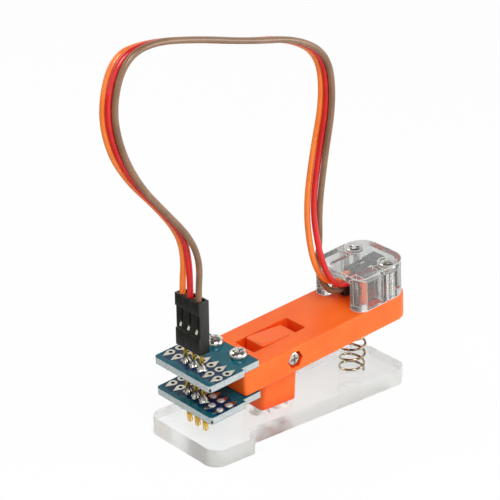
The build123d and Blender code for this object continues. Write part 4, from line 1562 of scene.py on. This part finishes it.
@dataclass(frozen=True)
class CrimpPlug:
    """A crimp housing with its latch tongues.

    In its own frame its mouth is on height 0 and its windows are on the -X face.
    """

    node: str = "plug_housing"
    label: str = "plug"
    cells: int = 3
    depth: float = 2.7
    width: float = 7.62
    height: float = 12.0
    cavity: Pair = (-0.84, 0.95)
    mouth: float = 1.2
    mouth_depth: float = 0.5
    mouth_overlap: float = 0.1
    recess: Pair = (3.9, 9.1)
    recess_depth: float = 0.3
    window: Pair = (4.35, 5.75)
    window_width: float = 0.95
    slit_width: float = 0.2
    slit_depth: float = 0.42
    slit_ends: Pair = (0.3, 0.05)
    groove: float = 0.13
    groove_slope: float = 0.6
    deep_groove: float = 0.4
    deep_groove_length: float = 1.2
    tongue_width: float = 1.15
    tongue_back: float = 0.05
    tongue_front: float = 0.1
    tongue_slopes: Pair = (0.45, 0.7)
    tongue_foot: float = 0.1
    latch_width: float = 0.68
    latch_depths: Pair = (0.12, 0.6)
    latch_foot: float = 0.2
    latch_height: float = 0.9
    latch_slope: float = 0.38
    latches_show: bool = True
    edge: float = 0.08

    def cell_y(self, index: int) -> float:
        """Gives a cell's place across the plug, the far one first."""
        return PITCH * ((self.cells - 1) / 2 - index)

    def cell_cutters(self, index: int) -> list[Solid]:
        """Makes what is cut out for one cell: cavity, mouth, window and the slits beside the tongue.

        Args:
            index: Which cell, the far one first.

        Returns:
            The cutters.
        """
        y = self.cell_y(index)
        front = -self.depth / 2
        half = (self.cavity[1] - self.cavity[0]) / 2
        side = self.window_width / 2
        cutters = [
            Shaper.block(self.cavity, (y - half, y + half), (self.mouth_depth, self.height + BEYOND)),
            Shaper.block((-self.mouth / 2, self.mouth / 2), (y - self.mouth / 2, y + self.mouth / 2),
                         (-BEYOND, self.mouth_depth + self.mouth_overlap)),
            Shaper.block((front - BEYOND, 0.0), (y - side, y + side), self.window),
        ]
        for way in (-1, 1):
            middle = y + way * (self.tongue_width + self.slit_width) / 2
            cutters.append(Shaper.block((front - BEYOND, front + self.slit_depth),
                                        (middle - self.slit_width / 2, middle + self.slit_width / 2),
                                        (self.window[0] - self.slit_ends[0],
                                         self.recess[1] - self.slit_ends[1])))
        return cutters

    def seam(self, face: float, y: float, size: float, span: Pair) -> Solid:
        """Makes a notch along the seam between two cells.

        Args:
            face: The face's X.
            y: The seam's place across the plug.
            size: How deep the notch is.
            span: Its lower and upper ends.

        Returns:
            The cutter.
        """
        half = size * self.groove_slope
        return Shaper.prism(((face - size, y), (face, y - half), (face + size, y), (face, y + half)), *span)

    def build(self, studio: Studio, place: Matrix) -> None:
        """Makes the housing, its tongues and the contacts' latches in its windows.

        Args:
            studio: The shared tools.
            place: The plug's frame.
        """
        front = -self.depth / 2
        body = Shaper.block((front, -front), (-self.width / 2, self.width / 2), (0.0, self.height))
        half = self.width / 2 + BEYOND
        above = self.height + BEYOND
        cutters = [Shaper.block((front - BEYOND, front + self.recess_depth), (-half, half), self.recess)]
        for index in range(self.cells):
            cutters += self.cell_cutters(index)
        for index in range(self.cells - 1):
            y = (self.cell_y(index) + self.cell_y(index + 1)) / 2
            for face in (front, -front):
                cutters.append(self.seam(face, y, self.groove, (-BEYOND, above)))
            cutters.append(self.seam(front, y, self.deep_groove,
                                     (self.recess[1] - self.deep_groove_length, above)))
        mesh = Workshop.carve(f"{self.label}_shell", body, cutters, self.edge)
        studio.piece(f"{self.label}_shell", mesh, Slot.BLACK, [self.node], place)
        made = [("tongues", self.tongue, Slot.BLACK)]
        if self.latches_show:
            made.append(("latches", self.latch, Slot.TIN))
        for form, make, slot in made:
            name = f"{self.label}_{form}"
            bodies = [make(self.cell_y(index)) for index in range(self.cells)]
            studio.piece(name, Shaper.join(name, bodies), slot, matrix=place)

    def tongue(self, y: float) -> Solid:
        """Makes one raised latch tongue.

        Args:
            y: Its cell's place across the plug.

        Returns:
            The tongue.
        """
        side = self.tongue_width / 2
        back = self.recess_depth - self.depth / 2 + self.tongue_back
        face = self.tongue_front - self.depth / 2
        top = self.recess[1]
        foot = self.window[1]
        outline = ((back, top), (face, top - self.tongue_slopes[1]), (face, foot + self.tongue_slopes[0]),
                   (back, foot + self.tongue_foot))
        tongue = Shaper.prism(outline, y - side, y + side)
        for vertex in tongue.verts:
            vertex.co = (vertex.co.x, vertex.co.z, vertex.co.y)
        bmesh.ops.recalc_face_normals(tongue, faces=tongue.faces)
        return tongue

    def latch(self, y: float) -> Solid:
        """Makes one bright contact latch, whose upper front edge slopes back.

        Args:
            y: Its cell's place across the plug.

        Returns:
            The latch.
        """
        floor = self.recess_depth - self.depth / 2
        half = self.latch_width / 2
        low = self.window[0] + self.latch_foot
        high = low + self.latch_height
        latch = Shaper.block((floor - self.latch_depths[0], floor + self.latch_depths[1]),
                             (y - half, y + half), (low, high))
        for vertex in latch.verts:
            if vertex.co.z > (low + high) / 2 and vertex.co.x < floor:
                vertex.co.x += self.latch_slope
        return latch


@dataclass(frozen=True)
class ClearCover:
    """The clear moulded cover on the lever's rear, in the lever's frame."""

    front: float = 19.6
    rear: float = 34.8
    half_width: float = 7.6
    bottom: float = 3.0
    top: float = 11.0
    roof_bottom: float = 9.5
    front_corner: float = 1.9
    rear_corner: float = 4.6
    corner_steps: int = 10
    wall: float = 0.95
    slot_half: float = 3.65
    slot_corner: float = 1.2
    slot_steps: int = 8
    pocket: Pair = (22.2, 27.1)
    slit: Pair = (27.6, 28.15)
    slit_depth: float = 1.9
    screw_x: float = 30.2
    screw_y: float = 5.2
    screw_hole: float = 1.1
    well_radius: float = 2.15
    well_depth: float = 1.45
    edge: float = 0.09
    line_radius: float = 0.07

    def outline(self) -> list[Pair]:
        """Gives the rounded outline seen from above.

        Returns:
            The outline's pairs.
        """
        points = []
        corners = ((self.rear, 1, 1, self.rear_corner, 0), (self.front, -1, 1, self.front_corner, 90),
                   (self.front, -1, -1, self.front_corner, 180), (self.rear, 1, -1, self.rear_corner, 270))
        for x, way_x, way_y, radius, start in corners:
            middle = (x - way_x * radius, way_y * (self.half_width - radius))
            for step in range(self.corner_steps + 1):
                across, along = around(radius, math.radians(start + 90 / self.corner_steps * step))
                points.append((middle[0] + across, middle[1] + along))
        return points

    def build(self, studio: Studio) -> None:
        """Makes the cover and the white lines along its edges, which are painted highlights.

        The bright lines are traced on a cover whose pockets reach further in, as the photograph shows them.

        Args:
            studio: The shared tools.
        """
        sharp = self.carved("cover_shape", self.slot_half + self.wall)
        drawn = self.carved("cover_drawn", self.slot_half - self.wall)
        paint = studio.palette.painted_edge_highlight
        # White lines along the edges: painted highlights.
        lines = studio.tracer.trace("cover_bright_edges", drawn, self.line_radius, paint)
        mesh = Workshop.round_off("clear_cover", sharp, self.edge, segments=2)
        studio.piece("clear_cover", mesh, Slot.CLEAR, ["connector_cover"], smooth_angle=28)
        studio.piece("cover_bright_edges", lines, Slot.CLEAR, smooth_angle=80, finish=paint)

    def slot(self) -> Solid:
        """Makes the cutter of the slot, which flares at its mouth.

        Returns:
            The cutter.
        """
        points = []
        for side in (1, -1):
            arc = []
            for step in range(self.slot_steps + 1):
                angle = math.pi / 2 * step / self.slot_steps
                arc.append((self.front + self.slot_corner * (1 - math.sin(angle)),
                            side * (self.slot_half + self.slot_corner * (1 - math.cos(angle)))))
            arc.append((self.front - BEYOND, side * (self.slot_half + self.slot_corner)))
            reach = [(self.rear - self.wall, side * self.slot_half), *arc]
            points += reach if side > 0 else reversed(reach)
        return Shaper.prism(points, self.bottom - BEYOND, self.roof_bottom)

    def carved(self, name: str, pocket_inner: float) -> Mesh:
        """Cuts the slot, pockets, slits and screw wells out of the body.

        Args:
            name: The mesh's name.
            pocket_inner: How far from the middle the pockets begin.

        Returns:
            The mesh, with sharp edges.
        """
        below = self.bottom - BEYOND
        above = self.top + BEYOND
        cutters = [self.slot()]
        for side in (1, -1):
            pocket = (self.pocket, pocket_inner, self.half_width - self.wall)
            slit = (self.slit, self.half_width - self.slit_depth, self.half_width + BEYOND)
            for span, inner, outer in (pocket, slit):
                low, high = sorted((side * inner, side * outer))
                cutters.append(Shaper.block(span, (low, high), (below, self.roof_bottom)))
            for radius, low in ((self.screw_hole, below), (self.well_radius, self.top - self.well_depth)):
                hole = Shaper.rod(radius, low, above, steps=40)
                bmesh.ops.translate(hole, verts=hole.verts, vec=(self.screw_x, side * self.screw_y, 0))
                cutters.append(hole)
        return Workshop.carve(name, Shaper.prism(self.outline(), self.bottom, self.top), cutters, 0.0)


@dataclass(frozen=True)
class PivotHardware:
    """The pivot's pan head screw in the near pocket and its nut in the far one, in the lever's frame."""

    head_seat: float = -6.35
    screw_length: float = 14.1
    screw: CrossHeadScrews = CrossHeadScrews(
        radius=0.8, head_radius=1.74, head_height=1.1, crown_share=0.62, recess_reach=1.3, recess_width=0.6,
        recess_depth=0.8, recess_mouth=0.6, thread_pitch=0.35, thread_depth=0.1)
    outer: float = 7.5
    inner: float = 6.2
    flats: float = 3.45
    chamfer_foot: Pair = (1.675, -0.01)
    chamfer_rim: Pair = (2.33, 0.4)
    bore: float = 0.83
    bore_mouth: float = 1.03
    bore_bevel: Pair = (0.12, 0.3)
    edge: float = 0.04
    knife_reach: float = 4.0

    def build(self, studio: Studio) -> None:
        """Makes the screw and the nut.

        Args:
            studio: The shared tools.
        """
        towards_near = Matrix.Rotation(math.pi / 2, 4, "X")
        studio.piece("pivot_pan_screw", self.screw.stamp(self.screw_length), Slot.STEEL, ["pivot_screw"],
                     lever_matrix((0, self.head_seat, 0)) @ towards_near)
        studio.piece("hex_nut", self.nut(), Slot.STEEL, ["pivot_nut"],
                     lever_matrix((0, self.outer, 0)) @ towards_near)

    def nut(self) -> Mesh:
        """Makes the nut with its outer face on height 0.

        Returns:
            The mesh.
        """
        corner = self.flats / 2 / math.cos(math.radians(30))
        outline = [around(corner, math.radians(60 * step)) for step in range(6)]
        thickness = self.outer - self.inner
        cone = Shaper.revolve([self.chamfer_foot, self.chamfer_rim, (self.knife_reach, self.chamfer_rim[1]),
                               (self.knife_reach, self.chamfer_foot[1]), self.chamfer_foot], steps=48)
        bevel_top, bevel_bottom = self.bore_bevel
        end = thickness + BEYOND
        hole = Shaper.revolve([(0.0, -BEYOND), (self.bore_mouth, -BEYOND), (self.bore_mouth, bevel_top),
                               (self.bore, bevel_bottom), (self.bore, end), (0.0, end)], steps=32)
        return Workshop.carve("hex_nut", Shaper.prism(outline, 0.0, thickness), [cone, hole], self.edge)


@dataclass(frozen=True)
class ProbeRow:
    """Where the three probes stand, in the lever's frame."""

    x: float = -21.3
    names: tuple[str, ...] = ("left", "middle", "right")

    def frame_of(self, index: int) -> Matrix:
        """Gives a probe's frame, the far one's first."""
        return lever_matrix((self.x, PITCH * (1 - index), 0))


@dataclass(frozen=True)
class ProbePlungers(ProbeRow):
    """The three plungers: piston, neck and a crown head with two crossing slots."""

    tip: float = -10.2
    tip_bevel: Pair = (0.14, 0.22)
    crown_radius: float = 0.6
    collar_radius: float = 0.65
    collar_length: float = 1.25
    collar_step: float = 0.12
    head_top: float = -7.6
    shoulder: Pair = (0.1, 0.22)
    neck_radius: float = 0.29
    piston_bottom: float = -4.96
    piston_top: float = -2.46
    piston_radius: float = 0.36
    slot: float = 0.38
    slot_depth: float = 1.1
    bore: float = 0.38
    turn: float = 6.0
    edge: float = 0.03

    def profile(self) -> list[Pair]:
        """Gives a plunger's outline from its tip to its piston's top.

        Returns:
            Radius and height pairs.
        """
        step = self.head_top - self.collar_length
        return [(0.0, self.tip), (self.crown_radius - self.tip_bevel[0], self.tip),
                (self.crown_radius, self.tip + self.tip_bevel[1]),
                (self.crown_radius, step - self.collar_step), (self.collar_radius, step),
                (self.collar_radius, self.head_top - self.shoulder[1]),
                (self.neck_radius + self.shoulder[0], self.head_top), (self.neck_radius, self.head_top),
                (self.neck_radius, self.piston_bottom), (self.piston_radius, self.piston_bottom),
                (self.piston_radius, self.piston_top), (0.0, self.piston_top)]

    def cutters(self) -> list[Solid]:
        """Makes the two crossing slots and the bore in the crown.

        Returns:
            The cutters.
        """
        below = self.tip - BEYOND
        floor = self.tip + self.slot_depth
        made = []
        for angle in (self.turn, self.turn + 90):
            bar = Shaper.block((-2 * BEYOND, 2 * BEYOND), (-self.slot / 2, self.slot / 2), (below, floor))
            bmesh.ops.rotate(bar, verts=bar.verts, cent=(0, 0, 0),
                             matrix=Matrix.Rotation(math.radians(angle), 3, "Z"))
            made.append(bar)
        return [*made, Shaper.rod(self.bore, below, floor, steps=24)]

    def build(self, studio: Studio) -> None:
        """Makes the plungers, each on its own body.

        Args:
            studio: The shared tools.
        """
        for index, name in enumerate(self.names):
            mesh = Workshop.carve(f"crown_{name}", Shaper.revolve(self.profile(), steps=36),
                                  self.cutters(), self.edge, segments=1)
            studio.piece(f"crown_{name}", mesh, Slot.GOLD, [f"probe_plunger_{name}"],
                         self.frame_of(index), Body(f"plunger_{name}"))


@dataclass(frozen=True)
class ProbeSprings(ProbeRow):
    """The fine springs between the pistons and the barrels' closed ends."""

    low: float = -2.43
    high: float = 7.07
    radius: float = 0.29
    wire: float = 0.12
    turns: int = 12
    steps: int = 16
    travel: float = 2.05

    def build(self, studio: Studio) -> None:
        """Makes the springs.

        Args:
            studio: The shared tools.
        """
        length = self.high - self.low

        def height_at(turn: float) -> float:
            """Gives the middle line's height, which climbs evenly."""
            return self.low + self.wire / 2 + (length - self.wire) * turn / self.turns

        for index, name in enumerate(self.names):
            mesh = Shaper.coil(f"probe_coil_{name}", self.radius, self.wire, self.turns, self.steps,
                               height_at)
            place = self.frame_of(index)
            coil = studio.piece(f"probe_coil_{name}", mesh, Slot.SPRING, [f"probe_spring_{name}"], place,
                                smooth_angle=80)
            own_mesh(coil)


@dataclass(frozen=True)
class CornerNotches:
    """The small plated notch at each board's near front corner, in the lever's frame, drawn as a black rod:
    painted shade in the notch's hollow.
    """

    x: float = -24.42
    y: float = -8.72
    bottoms: Pair = (3.2, -4.4)
    height: float = 0.65
    radius: float = 0.24
    end_share: float = 0.8
    bevel: float = 0.1

    def build(self, studio: Studio) -> None:
        """Makes the notches.

        Args:
            studio: The shared tools.
        """
        half = self.height / 2
        end = self.radius * self.end_share
        profile = [(0.0, -half), (end, -half), (self.radius, -half + self.bevel),
                   (self.radius, half - self.bevel), (end, half), (0.0, half)]
        places = [(self.x, self.y, bottom + half) for bottom in self.bottoms]
        # Black rods: painted shade in the notches.
        studio.repeated("corner_notches", Shaper.revolve(profile, steps=20), places, [0.0, 0.0], Slot.BLACK)


@dataclass(frozen=True)
class Picture:
    """The camera, lamps, world and floor. Sizes in millimetres, lamps in watts."""

    target: Point = (-7.87, 4.9, 38.25)
    azimuth: float = -42.27
    elevation: float = 23.75
    roll: float = 1.94
    distance: float = 422.51
    lens: float = 144.0
    sensor: float = 36.0
    lamp_target: Point = (0.0, 0.0, 20.0)
    lamps: tuple[tuple[str, Point, float, float], ...] = (
        ("key", (-160.0, -300.0, 380.0), 220.0, 1.1),
        ("fill", (250.0, -330.0, 110.0), 260.0, 0.72),
        ("back", (-120.0, 330.0, 300.0), 240.0, 0.4),
    )
    white: Colour = colour(255, 255, 255)
    world_light: float = 0.52
    ceiling: float = 0.14
    glass_ceiling: float = 0.8
    horizon: Pair = (0.45, 0.88)
    floor_paint: Colour = colour(246, 246, 246)
    floor_size: float = 4000.0
    floor_gap: float = 0.05
    floor_glow: float = 0.94
    # How white the floor shows through the clear parts, front to rear; the dimming to the rear is painted
    # shade.
    front_through: float = 0.98
    rear_through: float = 0.7
    through_span: Pair = (-30.0, 35.0)
    far_gloss: float = 0.12
    near_gloss: float = 0.95
    gloss_span: Pair = (-110.0, 60.0)

    def build(self) -> None:
        """Sets up the whole picture."""
        self.add_camera()
        for lamp in self.lamps:
            self.add_lamp(*lamp)
        self.add_world()
        self.add_floor()
        bpy.context.scene.view_settings.view_transform = "Standard"

    def add_camera(self) -> None:
        """Adds the camera at the photograph's viewing angle."""
        turn = math.radians(self.azimuth)
        rise = math.radians(self.elevation)
        roll = math.radians(self.roll)
        back = Vector((math.sin(turn) * math.cos(rise), -math.cos(turn) * math.cos(rise), math.sin(rise)))
        right = Vector((0, 0, 1)).cross(back).normalized()
        up = back.cross(right)
        rolled_right = right * math.cos(roll) + up * math.sin(roll)
        rolled_up = up * math.cos(roll) - right * math.sin(roll)
        data = bpy.data.cameras.new("camera")
        data.lens = self.lens
        data.sensor_width = self.sensor
        data.sensor_fit = "HORIZONTAL"
        data.clip_start = 0.01
        camera = add_object("camera", data)
        axes = Matrix((rolled_right, rolled_up, back)).transposed().to_4x4()
        camera.matrix_world = Matrix.Translation((Vector(self.target) + back * self.distance) * MM) @ axes
        bpy.context.scene.camera = camera

    def add_lamp(self, name: str, place: Point, size: float, power: float) -> None:
        """Adds a soft square lamp that faces the fixture.

        Args:
            name: The lamp's name.
            place: Its place.
            size: Its side.
            power: Its power in watts.
        """
        data = bpy.data.lights.new(name, "AREA")
        data.size = size * MM
        data.energy = power
        lamp = add_object(name, data)
        lamp.location = Vector(place) * MM
        lamp.rotation_euler = (Vector(place) - Vector(self.lamp_target)).to_track_quat("Z", "Y").to_euler()

    def add_world(self) -> None:
        """Adds a world that lights softly and shows as white, straight or through metal and glass.

        Its white fades towards the ceiling, more in metal than through glass.
        """
        world = bpy.data.worlds.new("studio")
        graph = Graph(empty_tree(world))
        light = graph.made("ShaderNodeBackground", {"Color": self.white, "Strength": self.world_light})
        way = graph.add("ShaderNodeTexCoord")
        split = graph.add("ShaderNodeSeparateXYZ", {0: way.outputs["Generated"]})
        height = graph.ramp(split.outputs["Z"], *self.horizon, 1.0, self.ceiling,
                            interpolation_type="SMOOTHSTEP")
        clear = graph.ramp(height, self.ceiling, 1.0, self.glass_ceiling)
        path = graph.add("ShaderNodeLightPath").outputs
        through = path["Is Transmission Ray"]
        level = graph.math("ADD", graph.math("MULTIPLY", through, clear),
                           graph.math("MULTIPLY", graph.math("SUBTRACT", 1.0, through), height))
        shown = graph.made("ShaderNodeBackground", {"Color": self.white, "Strength": level})
        seen = graph.math("MAXIMUM", path["Is Camera Ray"], path["Is Glossy Ray"])
        share = graph.math("MAXIMUM", seen, through)
        graph.add("ShaderNodeOutputWorld", {"Surface": graph.made("ShaderNodeMixShader",
                                                                  {0: share, 1: light, 2: shown})})
        bpy.context.scene.world = world

    def add_floor(self) -> None:
        """Adds the white floor, which keeps the fixture's shadow.

        It is white where the camera sees it, a little less so through the clear parts' rear, and fades in
        metal towards the far side.
        """
        half = self.floor_size / 2 * MM
        mesh = bpy.data.meshes.new("floor")
        mesh.from_pydata([(-half, -half, 0), (half, -half, 0), (half, half, 0), (-half, half, 0)], [],
                         [(0, 1, 2, 3)])
        mesh.transform(Matrix.Translation((0, 0, -self.floor_gap * MM)))
        material = bpy.data.materials.new("floor")
        graph = Graph(empty_tree(material))
        matt = graph.made("ShaderNodeBsdfDiffuse", {"Color": self.floor_paint})
        path = graph.add("ShaderNodeLightPath").outputs
        camera = path["Is Camera Ray"]
        straight = graph.math("MAXIMUM", camera, path["Is Transmission Ray"])
        place = graph.add("ShaderNodeTexCoord")
        split = graph.add("ShaderNodeSeparateXYZ", {0: place.outputs["Object"]}).outputs
        across = graph.math("SUBTRACT", split["X"], split["Y"])
        gloss = graph.ramp(across, self.gloss_span[0] * MM, self.gloss_span[1] * MM, self.far_gloss,
                           self.near_gloss)
        # Painted shade: the floor seen through the clear parts dims towards the rear.
        fade = graph.ramp(split["X"], self.through_span[0] * MM, self.through_span[1] * MM,
                          self.front_through, self.rear_through)
        through = graph.math("MULTIPLY", path["Is Transmission Ray"], fade)
        mirrored = graph.math("MULTIPLY", graph.math("SUBTRACT", 1.0, straight), gloss)
        strength = graph.math("ADD", graph.math("MAXIMUM", camera, through), mirrored)
        glow = graph.made("ShaderNodeEmission", {"Color": self.white, "Strength": strength})
        share = graph.math("MAXIMUM", graph.math("MULTIPLY", straight, self.floor_glow),
                           path["Is Glossy Ray"])
        graph.add("ShaderNodeOutputMaterial", {"Surface": graph.made("ShaderNodeMixShader",
                                                                     {0: share, 1: matt, 2: glow})})
        mesh.materials.append(material)
        floor = add_object("floor", mesh)


@dataclass(frozen=True)
class Plugs:
    """The front plug on the probe tails and the two-way rear plug."""

    front_mouth: Point = (-27.355, 0.0, 23.10)
    front_lean: float = 3.0
    front: CrimpPlug = CrimpPlug()
    rear_mouth: Point = (31.8, 0.0, 7.2)
    rear: CrimpPlug = CrimpPlug(node="rear_plug_double", label="rear_plug", cells=2, depth=2.54, width=5.08,
                                height=7.4, cavity=(-0.8, 0.9), recess=(1.9, 6.1), window=(2.3, 3.7),
                                latches_show=False)

    def build(self, studio: Studio) -> None:
        """Makes the front plug, which leans to the front, and the rear one, which lies on its back.

        Args:
            studio: The shared tools.
        """
        upright = Matrix.Translation(Vector(self.front_mouth) * MM)
        leaning = upright @ Matrix.Rotation(-math.radians(self.front_lean), 4, "Y")
        self.front.build(studio, leaning @ Matrix.Scale(MM, 4))
        lying = Matrix(((0, 0, -1), (0, -1, 0), (-1, 0, 0))).to_4x4()
        self.rear.build(studio, lever_matrix(self.rear_mouth) @ lying)


def main() -> None:
    """Builds everything in order."""
    logging.basicConfig(level=logging.INFO, format="%(message)s")
    Picture().build()
    studio = Studio()
    studio.palette.dress_nodes()
    Lead().build(studio)
    ReturnSpring().build(studio)
    boards = Boards()
    boards.build_pads(studio)
    boards.build_solder(studio)
    screws = CrossHeadScrews()
    for pair in (BOARD_SCREWS, COVER_SCREWS):
        screws.build(studio, pair)
    for assembly in (Plugs, ClearCover, PivotHardware, CornerNotches, ProbePlungers, ProbeSprings):
        assembly().build(studio)


if __name__ == "__main__":
    main()
